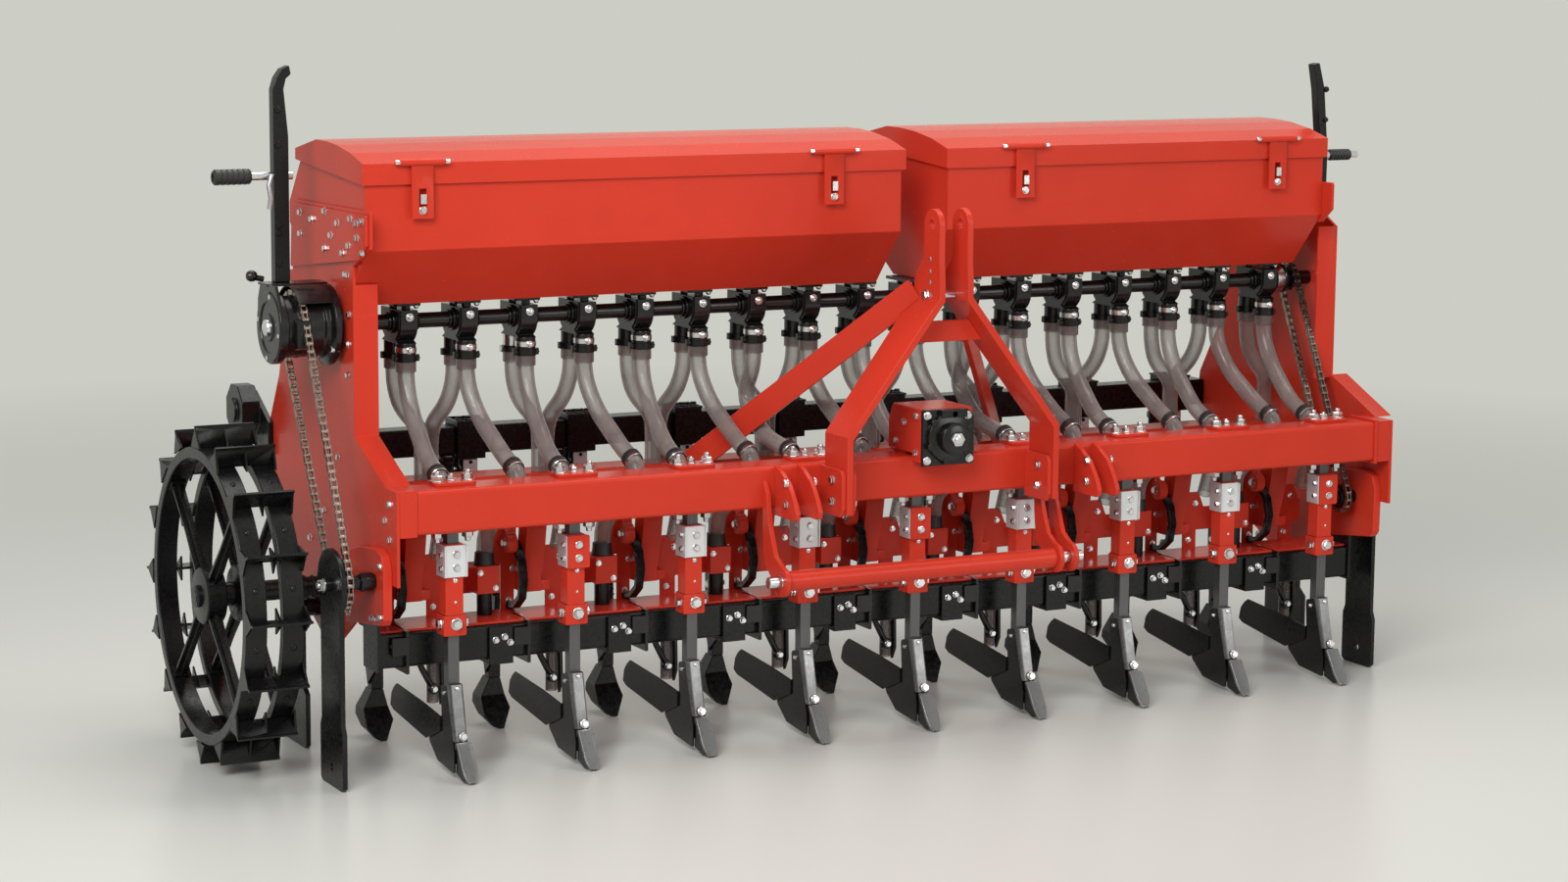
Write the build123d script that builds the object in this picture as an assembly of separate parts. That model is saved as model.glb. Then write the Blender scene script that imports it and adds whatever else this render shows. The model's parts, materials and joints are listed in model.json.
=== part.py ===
from build123d import *
import math
import os

# Nine-row seed drill for a three-point hitch. Millimetres.
# Working frame: X to the right seen from the front, Y to the rear, Z up, floor at Z = 0,
# tips of the front knives at Y = 0. The whole machine is moved at the end so that its
# origin is the middle of its footprint.

# ---------------------------------------------------------------- driving sizes
row_count = 9                 # openers in one row
row_pitch = 300               # between neighbouring openers
run_clear = 0.05              # radial clearance of a shaft in its bore
seat_gap = 0.3                # between pieces that only rest against each other

end_margin = 153              # from the last opener to the end of the beams
beam_front = 50               # front face of the front beam
beam_size = 100
beam_bottom = 572
beam_round = 9
beam_wall = 8
collar_length = 42            # sleeve at each end of the front beam
collar_proud = 3
rear_beam_front = 480
rear_beam_size = 100
rear_beam_bottom = 520

side_thick = 8                # side plates and their flanges
post_front = 312              # front face of the post flange of a side plate
post_top = 1152
post_foot = 762               # where the sloping gusset meets the post
flange_width = 52

hopper_wall = 4
hopper_front = 250
hopper_rear = 685
hopper_rim = 1365
hopper_knee = 1190            # where the front wall turns inwards
hopper_floor = 1055
floor_front = 370
floor_rear = 520
hopper_gap = (20, 150)        # inner ends of the left and the right hopper
right_hopper_margin = 91      # from the right hopper's end to the beam's end

lid_sheet = 3
lid_gap = 5                   # between a lid's skirt and its hopper
lid_skirt = 25
lid_rise = 60
hinge_pin_r = 4

meter_y = 430                 # metering shaft
meter_z = 1008
meter_shaft_r = 18
drum_r = 52                   # of a metering unit
drum_half = 22
hose_r = 20
hose_wall = 4
cuff_wall = 6

wheel_y = 458                 # ground wheel
wheel_z = 394                 # its outer radius, as it stands on the floor
wheel_gap = 192               # from the side plate to the wheel
rim_r = 343
rim_depth = 26
rim_width = 50
rim_spacing = 87              # from one rim to the other
lug_count = 16
axle_r = 15
hub_r = 65

shank_y = 130                 # middle of the shanks, under the rear half of the beam
holder_size = 44              # red shank holder
holder_top = 536
holder_bottom = 325
bar_size = 28                 # black shank bar
knife_wall = 4
plate_thick = 8
plate_margin = 40             # from the beam's front face to a clamp plate
clamp_half = 50               # half width of a clamp plate

gear_x = 13                   # gearbox
gear_half = 70
gear_top = 790

ear_half_gap = 30             # half the gap between the two headstock ears
leg_thick = 16
link_hole_r = 13
link_hole_y = -20
link_hole_z = 1230
foot_x = 288                  # outer face of a headstock leg's foot

link_pin_r = 14               # free end of a lower link pin
link_pin_root_r = 16
link_pin_y = -45
link_pin_z = 415

# ---------------------------------------------------------------- helpers
nodes = {}


def place(axis, along, u, v):
    """A point from its place along an axis and its two other coordinates in X, Y, Z order."""
    if axis == "X":
        return (along, u, v)
    if axis == "Y":
        return (u, along, v)
    return (u, v, along)


DIRECTION = {"X": (1, 0, 0), "Y": (0, 1, 0), "Z": (0, 0, 1)}


def prism(axis, low, high, outline, radius=0):
    """A flat outline, its corners rounded by radius, made thick from low to high."""
    points = [place(axis, low, u, v) for u, v in outline]
    if radius:
        edge = FilletPolyline(*points, radius=radius, close=True)
    else:
        edge = Polyline(*points, close=True)
    return extrude(make_face(edge), amount=high - low, dir=DIRECTION[axis])


def block(x0, x1, y0, y1, z0, z1):
    """A box between six planes."""
    centre = Vector((x0 + x1) / 2, (y0 + y1) / 2, (z0 + z1) / 2)
    return Pos(*centre) * Box(x1 - x0, y1 - y0, z1 - z0)


def rod(axis, radius, low, high, u, v):
    """A cylinder from low to high along an axis."""
    turn = {"X": Rot(0, 90, 0), "Y": Rot(90, 0, 0), "Z": Rot(0, 0, 0)}[axis]
    return Pos(*place(axis, (low + high) / 2, u, v)) * turn * Cylinder(radius, high - low)


def pipe(axis, radius, bore, low, high, u, v):
    """A cylinder with a bore right through."""
    return rod(axis, radius, low, high, u, v) - rod(axis, bore, low - 1, high + 1, u, v)


def swept(path_points, radii, outer, inner):
    """A round pipe along straight runs joined by tangent arcs."""
    path = FilletPolyline(*path_points, radius=radii)
    section = Circle(outer) - Circle(inner)
    return sweep(path.location_at(0) * section, path=path)


def bar_between(start, end, width, depth, up=(0, 0, 1)):
    """A straight rectangular bar from start to end: depth lies along up as near as can be."""
    way = Vector(*end) - Vector(*start)
    side = way.cross(Vector(*up))
    plane = Plane(origin=start, x_dir=side, z_dir=way)
    return extrude(plane * Rectangle(width, depth), amount=way.length)


def beam(x0, x1, y0, z0, size, thick, radius):
    """A square tube along X with rounded edges."""
    def square(inset):
        low_y, low_z, side = y0 + inset, z0 + inset, size - 2 * inset
        return [(low_y, low_z), (low_y + side, low_z), (low_y + side, low_z + side), (low_y, low_z + side)]
    tube = prism("X", x0, x1, square(0), radius)
    return tube - prism("X", x0 - 1, x1 + 1, square(thick), radius / 2)


def belt(x0, x1, top, bottom, thick):
    """A closed band round two circles, each given as (Y, Z, radius)."""
    side_view = Plane(origin=(x0, 0, 0), x_dir=(0, 1, 0), z_dir=(1, 0, 0))

    def hull(grow):
        turns = [Pos(y, z) * Circle(r + grow) for y, z, r in (top, bottom)]
        return extrude(side_view * make_hull([turn.edge() for turn in turns]), amount=x1 - x0, dir=DIRECTION["X"])
    return hull(thick / 2) - hull(-thick / 2)


def mirror_x(piece):
    """The same piece on the other side of the machine."""
    return mirror(piece, about=Plane.YZ)


def add(name, *pieces):
    """Put pieces in the node of that name."""
    for piece in pieces:
        nodes.setdefault(name, []).extend(piece.solids())


def row_x(i):
    """The X of front opener number i."""
    return (i - (row_count - 1) / 2) * row_pitch


beam_half = row_x(row_count - 1) + end_margin
beam_back = beam_front + beam_size
beam_top = beam_bottom + beam_size
beam_mid = beam_front + beam_size / 2
rear_beam_back = rear_beam_front + rear_beam_size
rear_beam_top = rear_beam_bottom + rear_beam_size
side_in = beam_half
side_out = beam_half + side_thick
hopper_spans = {"left": (-beam_half, hopper_gap[0]), "right": (hopper_gap[1], beam_half - right_hopper_margin)}

# ---------------------------------------------------------------- frame
add("front_beam", beam(-beam_half, beam_half, beam_front, beam_bottom, beam_size, beam_wall, beam_round))
add("rear_beam", beam(-beam_half, beam_half, rear_beam_front, rear_beam_bottom, rear_beam_size, beam_wall,
                      beam_round))
collar_front = beam_front - collar_proud
collar_top = beam_top + collar_proud
lip_length = 8
lip_proud = 7
lip_x = beam_half - collar_length


def sleeve(x0, x1, proud):
    """A sleeve round the front beam, standing proud of its faces."""
    ring = block(x0, x1, beam_front - proud, beam_back + proud, beam_bottom - proud, beam_top + proud)
    return ring - block(x0 - 1, x1 + 1, beam_front, beam_back, beam_bottom, beam_top)


collar = sleeve(lip_x, beam_half, collar_proud)
add("beam_collars", mirror_x(collar), collar + sleeve(lip_x - lip_length, lip_x, lip_proud))

gusset_foot = beam_mid + 12   # where the sloping gusset meets the beam's top
lug_front = 200               # front of the left side plate's top lug
right_lug_front = 400
lug_top = 1285
lug_bottom = 1200


def side_outline(front):
    """The (Y, Z) outline of a side plate whose top lug starts at front."""
    return [
        (collar_front, collar_top), (gusset_foot, collar_top), (post_front, post_foot), (post_front, post_top),
        (front, lug_bottom), (front, lug_top), (712, lug_top - 10), (726, 1107), (790, 1100), (818, 892),
        (835, 843), (923, 698), (935, 611), (637, 304), (482, 230), (327, 327), (300, 458), (collar_front, 458),
    ]


def side_flanges(post_x, gusset_x, top):
    """The post flange, up to top, and the sloping gusset flange of a side plate, each from its (X, X)."""
    post = block(*post_x, post_front, post_front + side_thick, post_foot - 9, top)
    slope = [(gusset_foot, collar_top), (post_front, post_foot), (post_front, post_foot - 9),
             (gusset_foot + 18, collar_top)]
    return post + prism("X", *gusset_x, slope)


add("side_plate_left", prism("X", -side_out, -side_in, side_outline(lug_front))
    + side_flanges((-side_in, -side_in + flange_width), (-side_in, -side_in + flange_width), post_top - 42)
    - rod("X", meter_shaft_r + seat_gap, -side_out - 1, -side_in + 1, meter_y, meter_z))
# the right gusset flange points outwards
add("side_plate_right", prism("X", side_in, side_out, side_outline(right_lug_front))
    + side_flanges((side_in - flange_width, side_in), (side_out, side_out + flange_width - side_thick), post_top))

end_plate_outline = [(207, 1207), (250, 1172), (718, 1115), (704, 1268), (207, 1276)]
end_plate_thick = 8
right_end = hopper_spans["right"][1]
add("hopper_end_plates", prism("X", -side_out - end_plate_thick, -side_out, end_plate_outline, 6))
right_end_plate = prism("X", right_end + seat_gap, right_end + end_plate_thick, end_plate_outline, 6)
# the right hopper stops short of the side plate and stands off it on a spacer
add("hopper_end_plates", right_end_plate + block(right_end + 2, side_in, 430, 640, 1180, 1240))

# shallow pans in front of the lower ends of the side plates
pan_depth = 22
pan_wall = 5
pan_outline = [(78, 380), (90, 366), (327, 335), (327, 500), (231, 526), (122, 536), (90, 525), (76, 495)]
pan_hollow = [(84, 383), (93, 372), (322, 342), (322, 495), (230, 520), (123, 530), (95, 520), (82, 493)]
counter_y = 136
counter_z = 461
right_counter_y = 170


def pan(x0):
    """A pan whose face is at x0 and whose rim points to +X."""
    return (prism("X", x0, x0 + pan_depth, pan_outline)
            - prism("X", x0 + pan_wall, x0 + pan_depth + 1, pan_hollow))


hanger_thick = 8
low_bar_front = 205
low_bar_size = 80
low_bar_bottom = 240
low_bar_top = low_bar_bottom + low_bar_size
hanger = block(-side_in, -side_in + hanger_thick, low_bar_front - 6, low_bar_front + low_bar_size + 6,
               low_bar_bottom - 6, 400)
slot = block(side_in - hanger_thick - seat_gap, side_in + 1, low_bar_front - 6 - seat_gap,
             low_bar_front + low_bar_size + 6 + seat_gap, low_bar_bottom, 400 + seat_gap)
add("end_pans",
    pan(-side_out - pan_depth) - rod("X", axle_r + seat_gap, -side_out - pan_depth - 1, -side_out + 1,
                                     counter_y, counter_z),
    pan(side_in - pan_depth) - slot
    - rod("X", axle_r + seat_gap, side_in - pan_depth - 1, side_in + 1, right_counter_y, counter_z))

# ---------------------------------------------------------------- hoppers and lids
hopper_section = [
    (hopper_front, hopper_rim), (hopper_front, hopper_knee), (floor_front, hopper_floor),
    (floor_rear, hopper_floor), (765, 1215), (765, 1265), (hopper_rear, hopper_rim),
]
wall = hopper_wall
hopper_hollow = [
    (hopper_front + wall, hopper_rim + 1), (hopper_front + wall, hopper_knee + 1.5),
    (floor_front + 2, hopper_floor + wall), (floor_rear - 2, hopper_floor + wall),
    (765 - wall, 1215 + 2), (765 - wall, 1265 - 2), (hopper_rear - wall - 1, hopper_rim + 1),
]
hinge_y = hopper_rear + 15
hinge_z = hopper_rim + 14
lid_front = hopper_front - lid_gap
lid_outline = [
    (lid_front - lid_sheet, hopper_rim - lid_skirt), (lid_front - lid_sheet, hopper_rim + 23),
    (320, hopper_rim + 43), (410, hopper_rim + 56), (480, hopper_rim + lid_rise),
    (550, hopper_rim + lid_rise), (hinge_y - 4, hopper_rim + 31), (hinge_y - 4, hopper_rim + 5),
]
lid_hollow = [
    (lid_front, hopper_rim - lid_skirt - 1), (lid_front, hopper_rim + 21),
    (321, hopper_rim + 40), (410, hopper_rim + 53), (480, hopper_rim + lid_rise - lid_sheet),
    (549.5, hopper_rim + lid_rise - lid_sheet), (hinge_y - 7, hopper_rim + 28.5),
    (hinge_y - 7, hopper_rim - lid_skirt - 1),
]
hinge_knuckle = 40
knuckle_r = 9
partition_y = 480
partition_thick = 3
partition_top = hopper_rim - 40

for side, (x0, x1) in hopper_spans.items():
    box = prism("X", x0, x1, hopper_section) - prism("X", x0 + wall, x1 - wall, hopper_hollow)
    box += block(x0 + wall / 2, x1 - wall / 2, partition_y, partition_y + partition_thick,
                 hopper_floor + wall / 2, partition_top)
    lid = prism("X", x0 - lid_gap - lid_sheet, x1 + lid_gap + lid_sheet, lid_outline)
    lid -= prism("X", x0 - lid_gap, x1 + lid_gap, lid_hollow)
    for x in (x0 + 150, (x0 + x1) / 2, x1 - 150):
        low = x - hinge_knuckle
        high = x + hinge_knuckle
        tab = block(low, x - 1, hopper_rear - 3, hinge_y, hopper_rim - 35, hinge_z - 2)
        tab -= prism("X", low - 1, x, hopper_section)
        tab -= rod("X", hinge_pin_r, low - 1, x, hinge_y, hinge_z)
        tab -= block(low - 1, x, 0, hinge_y - 3, hopper_rim - 5, hinge_z + 20)
        box += pipe("X", knuckle_r, hinge_pin_r, low, x - 1, hinge_y, hinge_z) + tab
        lid += rod("X", knuckle_r, x + 1, high, hinge_y, hinge_z)
        lid -= rod("X", knuckle_r + 5, low - 5, x + 1, hinge_y, hinge_z)
        lid -= rod("X", hinge_pin_r + run_clear, x, high + 1, hinge_y, hinge_z)
        add("lid_hinge_pins", rod("X", hinge_pin_r, low - 5, high + 5, hinge_y, hinge_z))
    add("hopper_" + side, box)
    add("lid_" + side, lid)

# each latch from the nearer end of its hopper
latch_from_end = {"left": (132, 192), "right": (210, 152)}
latch_half = 26
latch_top = hopper_rim + 20
latch_bottom = hopper_rim - 103
for side, (x0, x1) in hopper_spans.items():
    first, last = latch_from_end[side]
    for x in (x0 + first, x1 - last):
        face = lid_front - lid_sheet
        strap = block(x - latch_half, x + latch_half, face - 10, face - 5, latch_bottom, latch_top)
        strap -= block(x - 9, x + 9, 200, 260, latch_bottom + 28, latch_bottom + 68)
        foot = block(x - latch_half, x + latch_half, face - 6, face, latch_top - 23, latch_top)
        lip = rod("X", 8, x - 55, x + 55, face - 8, latch_top + 5)
        add("lid_latches_" + side, strap + foot + lip)

# ---------------------------------------------------------------- metering
meter_count = 2 * row_count - 1
chain_width = 16
chain_thick = 12
right_r = 36                  # of the right chain's two turns
shaft_left = -side_out - 11
cup_x = (meter_count - 1) * row_pitch / 4 + 34      # bright cup at the right end of the shaft
cup_r = 36
right_chain_x = side_in - 69    # left face of the right chain
sprocket_gap = chain_thick / 2 + seat_gap
add("metering_shaft", rod("X", meter_shaft_r, shaft_left, side_in - seat_gap, meter_y, meter_z)
    + rod("X", right_r - sprocket_gap, right_chain_x + 3, right_chain_x + chain_width - 3, meter_y, meter_z)
    + rod("X", cup_r, cup_x, cup_x + 34, meter_y, meter_z))


def meter_x(i):
    """The X of metering unit number i."""
    return (i - (meter_count - 1) / 2) * row_pitch / 2


cuff_r = hose_r + cuff_wall
cuff_length = 62
outlet_y = {"front": meter_y - cuff_r, "rear": meter_y + 2 * cuff_r}
outlet_z = 955
neck_front = outlet_y["front"] - hose_r
neck_rear = outlet_y["rear"] + hose_r
flange_z = hopper_floor - 14
throat = [
    (neck_front, outlet_z), (neck_rear, outlet_z), (neck_rear, outlet_z + 12), (meter_y + drum_r, meter_z),
    (meter_y + drum_r - 5, flange_z + 1), (meter_y - drum_r + 5, flange_z + 1), (meter_y - drum_r, meter_z),
    (neck_front, outlet_z + 12),
]
for i in range(meter_count):
    x = meter_x(i)
    body = prism("X", x - drum_half, x + drum_half, throat)
    body += rod("X", drum_r, x - drum_half, x + drum_half, meter_y, meter_z)
    body += block(x - drum_half - 8, x + drum_half + 8, meter_y - drum_r - 8, meter_y + drum_r + 16, flange_z,
                  hopper_floor - seat_gap)
    body -= block(x - 40, x + 40, 300, 600, hopper_floor - seat_gap, 1100)
    body -= rod("X", meter_shaft_r + seat_gap, x - 40, x + 40, meter_y, meter_z)
    add("metering_housings", body)
    for y in outlet_y.values():
        add("hose_cuffs", pipe("Z", cuff_r, hose_r + seat_gap, outlet_z - cuff_length, outlet_z - seat_gap, x, y))

# hoses: the odd ones feed the sockets, the even ones the knives, the rear ones pass the rear beam
hose_top = outlet_z - 5
behind = beam_back + hose_r + 5       # where the front hoses pass the beam
over_rear = rear_beam_top + 1
under_cuff = outlet_z - 97            # hoses run straight through their cuffs
front_hose_even = [
    (0, outlet_y["front"], hose_top), (0, outlet_y["front"], under_cuff), (0, 362, 788), (0, 268, 700),
    (0, behind + 6, 672), (0, behind + 2, 590), (0, 214, 490),
]
front_hose_odd = [
    (0, outlet_y["front"], hose_top), (0, outlet_y["front"], under_cuff), (12, 362, 785), (32, 255, 705),
    (40, behind + 8, 672), (38, behind + 10, 600), (4, 300, 530), (0, 300, 446),
]
rear_hose_even = [
    (0, outlet_y["rear"], hose_top), (0, outlet_y["rear"], under_cuff), (18, 490, 800), (62, 480, 745),
    (78, 505, 700), (78, 505, over_rear),
]
rear_hose_odd = [
    (0, outlet_y["rear"], hose_top), (0, outlet_y["rear"], under_cuff), (-10, 500, 800), (-28, 550, 745),
    (-28, 568, 700), (-28, 568, over_rear),
]
held_back = 94                        # hoses beside a headstock brace hang further back


def bend_radii(points):
    """The largest tangent arc that each corner's two runs allow."""
    radii = []
    for before, here, after in zip(points, points[1:], points[2:]):
        run_in = Vector(*here) - Vector(*before)
        run_out = Vector(*after) - Vector(*here)
        turn = math.radians(run_in.get_angle(run_out))
        radii.append(0.45 * min(run_in.length, run_out.length) / math.tan(turn / 2))
    return radii


def hose(x, route):
    """A clear hose that starts at x, along a list of (sideways, Y, Z) points."""
    points = [(x + lean, y, z) for lean, y, z in route]
    return swept(points, bend_radii(points), hose_r, hose_r - hose_wall)


for i in range(meter_count):
    x = meter_x(i)
    front_route, rear_route = ((front_hose_even, rear_hose_even), (front_hose_odd, rear_hose_odd))[i % 2]
    if abs(x) == row_pitch:
        front_route = [(lean, y + held_back if k in (2, 3) else y, z)
                       for k, (lean, y, z) in enumerate(front_route)]
    add("seed_hoses", hose(x, front_route), hose(x, rear_route))

# ---------------------------------------------------------------- hitch: plates on the front beam
rib_x = (-415, -356, 407, 458)         # ribs beside the lower links
rib_thick = 12
lug_x = (-445, 296, 337)               # lugs that hold the lower link pins
lug_thick = 12
doubler_thick = 11
foot_in = foot_x - leg_thick
ear_out = ear_half_gap + leg_thick
rib_profile = [
    (beam_front, beam_top + 3), (20, beam_top - 8), (-20, beam_top - 32), (-52, beam_top - 72),
    (-65, beam_bottom + 3), (-62, beam_bottom - 12), (-50, beam_bottom - 16), (beam_front, beam_bottom - 16),
]
for x in rib_x:
    add("link_brackets", prism("X", x - rib_thick / 2, x + rib_thick / 2, rib_profile))
lug_profile = [
    (beam_front, beam_bottom + 68), (30, beam_bottom + 40), (18, beam_bottom - 30), (-14, link_pin_z + 55),
    (link_pin_y - 20, link_pin_z + 25), (link_pin_y + 20, link_pin_z - 28), (40, link_pin_z + 35),
    (beam_front, link_pin_z + 105),
]
lug_r = 36
for x in lug_x:
    lug = prism("X", x - lug_thick / 2, x + lug_thick / 2, lug_profile)
    lug += rod("X", lug_r, x - lug_thick / 2, x + lug_thick / 2, link_pin_y, link_pin_z)
    lug -= rod("X", link_pin_root_r + seat_gap, x - lug_thick, x + lug_thick, link_pin_y, link_pin_z)
    add("link_brackets", lug)
left_face = lug_x[0] - lug_thick / 2
right_face = lug_x[2] + lug_thick / 2
left_free = 32
right_free = 26
tube_left = lug_x[0] + lug_thick / 2
tube_right = lug_x[1] - lug_thick / 2
add("link_brackets", pipe("X", 24, 18, tube_left + seat_gap, tube_right - seat_gap, link_pin_y, link_pin_z))
add("hitch_pins",
    rod("X", link_pin_r, left_face - left_free, left_face, link_pin_y, link_pin_z)
    + rod("X", link_pin_root_r, left_face, tube_left + 25, link_pin_y, link_pin_z),
    rod("X", link_pin_r, right_face, right_face + right_free, link_pin_y, link_pin_z)
    + rod("X", link_pin_root_r, tube_right - 25, right_face, link_pin_y, link_pin_z))

# ---------------------------------------------------------------- openers, front row
bolt_y = shank_y - 10         # the clamp bolts stand on the beam's top and hang under it
bolt_x = 37
bolt_r = 8
plate_front = beam_front + plate_margin
plate_back = beam_back + 2
bracket_wall = 6
for i in range(row_count):
    x = row_x(i)
    for low in (beam_top, beam_bottom - plate_thick):
        outline = [(x - clamp_half, plate_front), (x + clamp_half, plate_front), (x + clamp_half, plate_back),
                   (x - clamp_half, plate_back)]
        plate = prism("Z", low, low + plate_thick, outline, 12)
        for dx in (-bolt_x, bolt_x):
            plate -= rod("Z", bolt_r + seat_gap, low - 1, low + plate_thick + 1, x + dx, bolt_y)
        add("clamp_plates", plate)
    for dx in (-bolt_x, bolt_x):
        add("clamp_bolts", rod("Z", bolt_r, beam_bottom - 30, beam_bottom, x + dx, bolt_y))
        if abs(x + dx - gear_x) > gear_half + 2 * bolt_r:
            add("clamp_bolts", rod("Z", bolt_r, beam_top, beam_top + 24, x + dx, bolt_y))
    half = holder_size / 2
    bore = bar_size / 2 + seat_gap
    grown = half + bracket_wall
    holder = block(x - half, x + half, shank_y - half, shank_y + half, holder_bottom, holder_top)
    # the foot of the holder has a bracket round it
    holder += block(x - grown, x + grown, shank_y - half - 4, shank_y + half, holder_bottom, holder_bottom + 48)
    holder -= block(x - bore, x + bore, shank_y - bore, shank_y + bore, holder_bottom - 1, holder_top + 1)
    add("shank_holders", holder)
    half = bar_size / 2
    add("shank_bars", block(x - half, x + half, shank_y - half, shank_y + half, 80, beam_bottom - plate_thick))
    half = holder_size / 2 + seat_gap
    clip = block(x - half - 5, x + half + 5, shank_y - half - 5, shank_y + half, 460, holder_top - 2)
    clip -= block(x - half, x + half, shank_y - half, shank_y + half + 1, 459, holder_top + 1)
    add("holder_clips", clip)
    # knife: channel in front of the bar, side plates and a wing on the left
    face = shank_y - bar_size / 2 - seat_gap
    inside = bar_size / 2 + seat_gap
    outside = inside + knife_wall
    knife = prism("X", x - outside, x + outside, [(face, 212), (face - 14, 212), (71, 88), (71, 30), (face, 30)])
    cheek = [(face - 1, 212), (shank_y + 24, 200), (shank_y + 18, 132), (231, 63), (176, 22), (71, 15),
             (71, 60)]
    knife += prism("X", x - outside, x - inside, cheek)
    knife += prism("X", x + inside, x + outside, cheek)
    wing = prism("X", x - outside - knife_wall, x - outside,
                 [(150, 96), (231, 63), (409, 93), (427, 102), (420, 136), (391, 161), (252, 146), (150, 131)])
    add("knives", knife + wing)
    add("share_points", prism("X", x - outside, x + outside,
                              [(71 - seat_gap, 14), (71 - seat_gap, 90), (58, 86), (10, 28), (0, 4), (3, 0),
                               (30, 3)]))

# ---------------------------------------------------------------- lower tool bar and rear row
low_bar_wall = 6
low_bar_back = low_bar_front + low_bar_size
bar = beam(-beam_half, beam_half, low_bar_front, low_bar_bottom, low_bar_size, low_bar_wall, 7)
for end in (hanger, mirror_x(hanger)):
    bar -= end
    bar += end
add("lower_bar", bar)
rail_thick = 6
rail_top = low_bar_top + rail_thick
rail_end = side_in - hanger_thick - seat_gap
add("boot_rail", block(-rail_end, rail_end, 215, 345, low_bar_top, rail_top))

rear_row_shift = -30          # the seed openers run beside the furrow of the knives
rear_tip_y = 485
rear_arm_y = 545
share_top = 118
back_y = 345                  # front face of the boots' back plates
back_thick = 6
boot_half = 25
boot_wall = 4
boot_foot = 370
for i in range(row_count):
    x = row_x(i)
    last = i == row_count - 1
    boot_x = x + rear_row_shift
    # a folded channel that leans back to its plate, open at both ends
    boot = prism("X", boot_x - boot_half, boot_x + boot_half,
                 [(264, 546), (276, 480), (300, 402), (300, boot_foot), (back_y, boot_foot), (back_y, 430),
                  (326, 480), (316, 546)])
    boot -= prism("X", boot_x - boot_half + boot_wall, boot_x + boot_half - boot_wall,
                  [(268, 547), (280, 480), (304, 402), (304, boot_foot - 1), (back_y - 4, boot_foot - 1),
                   (back_y - 4, 430), (322, 480), (312, 547)])
    boot += block(boot_x + boot_half, boot_x + boot_half + 24, 306, back_y, boot_foot, boot_foot + 24)
    right = x + (90 if last else row_pitch - 110)
    # the back plate is a band on two feet, open beside the sockets
    back = prism("Y", back_y, back_y + back_thick,
                 [(x - 90, low_bar_top), (x - 56, low_bar_top), (x - 56, boot_foot), (x + 24, boot_foot),
                  (x + 24, low_bar_top), (x + 64, low_bar_top), (x + 64, boot_foot), (right, boot_foot),
                  (right, 430), (x + 86, 430), (x + 70, 470), (x - 50, 470), (x - 50, 560), (x - 90, 560)])
    if i > 0:
        back += prism("Y", back_y, back_y + back_thick, [(x - 138, 444), (x - 128, 434), (x - 89, 434),
                                                         (x - 89, 560), (x - 138, 545)])
    bracket = boot + back
    # pivot arm beside the boot, with a round lug
    bracket += prism("X", x - 100, x - 82, [(back_y, 540), (300, 525), (272, 500), (280, 470), (back_y, 480)])
    bracket += rod("X", 24, x - 104, x - 80, 285, 495)
    if not last:
        mid = x + row_pitch / 2
        bracket += block(mid - 28, mid + 28, 272, back_y, 380, 445)
        bracket -= rod("Z", hose_r + seat_gap, 379, 446, mid, 300)
        add("socket_tubes", pipe("Z", hose_r - 2, hose_r - 6, rail_top + seat_gap, 380 - seat_gap, mid, 300))
        # plates that clamp the lower bar
        shoe = block(mid - 30, mid + 30, low_bar_front - 9, low_bar_front, low_bar_bottom - 12, low_bar_top - 4)
        shoe += block(mid - 30, mid + 30, low_bar_front - 9, low_bar_back + 9, low_bar_bottom - 12, low_bar_bottom)
        add("bar_shoes", shoe)
    add("seed_boots", bracket)
    strap = [(back_y, 500), (300, 492), (262, 455), (250, 410), (262, 362), (300, 334), (back_y, rail_top + 0.5),
             (back_y, rail_top + 12), (306, 346), (274, 370), (263, 410), (274, 448), (306, 480), (back_y, 488)]
    add("spring_straps", prism("X", x - 79, x - 59, strap))
    xr = x + rear_row_shift
    arm = block(xr - 15, xr + 15, rear_arm_y - 15, rear_arm_y + 15, share_top, rear_beam_bottom)
    arm += prism("X", xr - 23, xr - 15, [(470, 330), (560, 330), (560, 190), (540, 130), (490, 170)])
    add("rear_shanks", arm)
    # a pointed hoe: its side view cut to its front view
    share = prism("X", xr - 45, xr + 45, [(rear_tip_y, 0), (rear_tip_y + 12, 0), (rear_arm_y + 40, 52),
                                          (rear_arm_y + 28, share_top), (rear_arm_y - 15, share_top),
                                          (rear_arm_y - 18, 76)])
    share &= prism("Y", rear_tip_y - 5, rear_arm_y + 60,
                   [(xr - 6, 0), (xr + 6, 0), (xr + 32, 45), (xr + 14, share_top), (xr - 14, share_top),
                    (xr - 38, 72), (xr - 38, 30), (xr - 20, 6)])
    add("rear_shares", share)

# ---------------------------------------------------------------- headstock
leg_bend = 745
leg_foot = 562
leg_outline = [
    (-ear_half_gap, 1280), (-ear_half_gap, 1052), (-foot_in, leg_bend - 8), (-foot_in, leg_foot),
    (-foot_x, leg_foot), (-foot_x, leg_bend), (-ear_out, 1060), (-ear_out, 1280),
]
leg_profile = [
    (link_hole_y - 38, link_hole_z), (link_hole_y - 38, 1150), (-63, 1095), (-63, 1020), (-66, leg_bend),
    (-66, leg_foot), (beam_front, leg_foot), (beam_front, leg_bend), (63, 1020), (63, 1095),
    (link_hole_y + 38, 1150), (link_hole_y + 38, link_hole_z),
]
leg = prism("Y", -100, 100, leg_outline)
profile = prism("X", -foot_x - 5, 0, leg_profile) + rod("X", 38, -foot_x - 5, 0, link_hole_y, link_hole_z)
leg = leg & profile
leg -= rod("X", link_hole_r, -200, 200, link_hole_y, link_hole_z)
add("headstock_legs", leg, mirror_x(leg))

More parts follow.
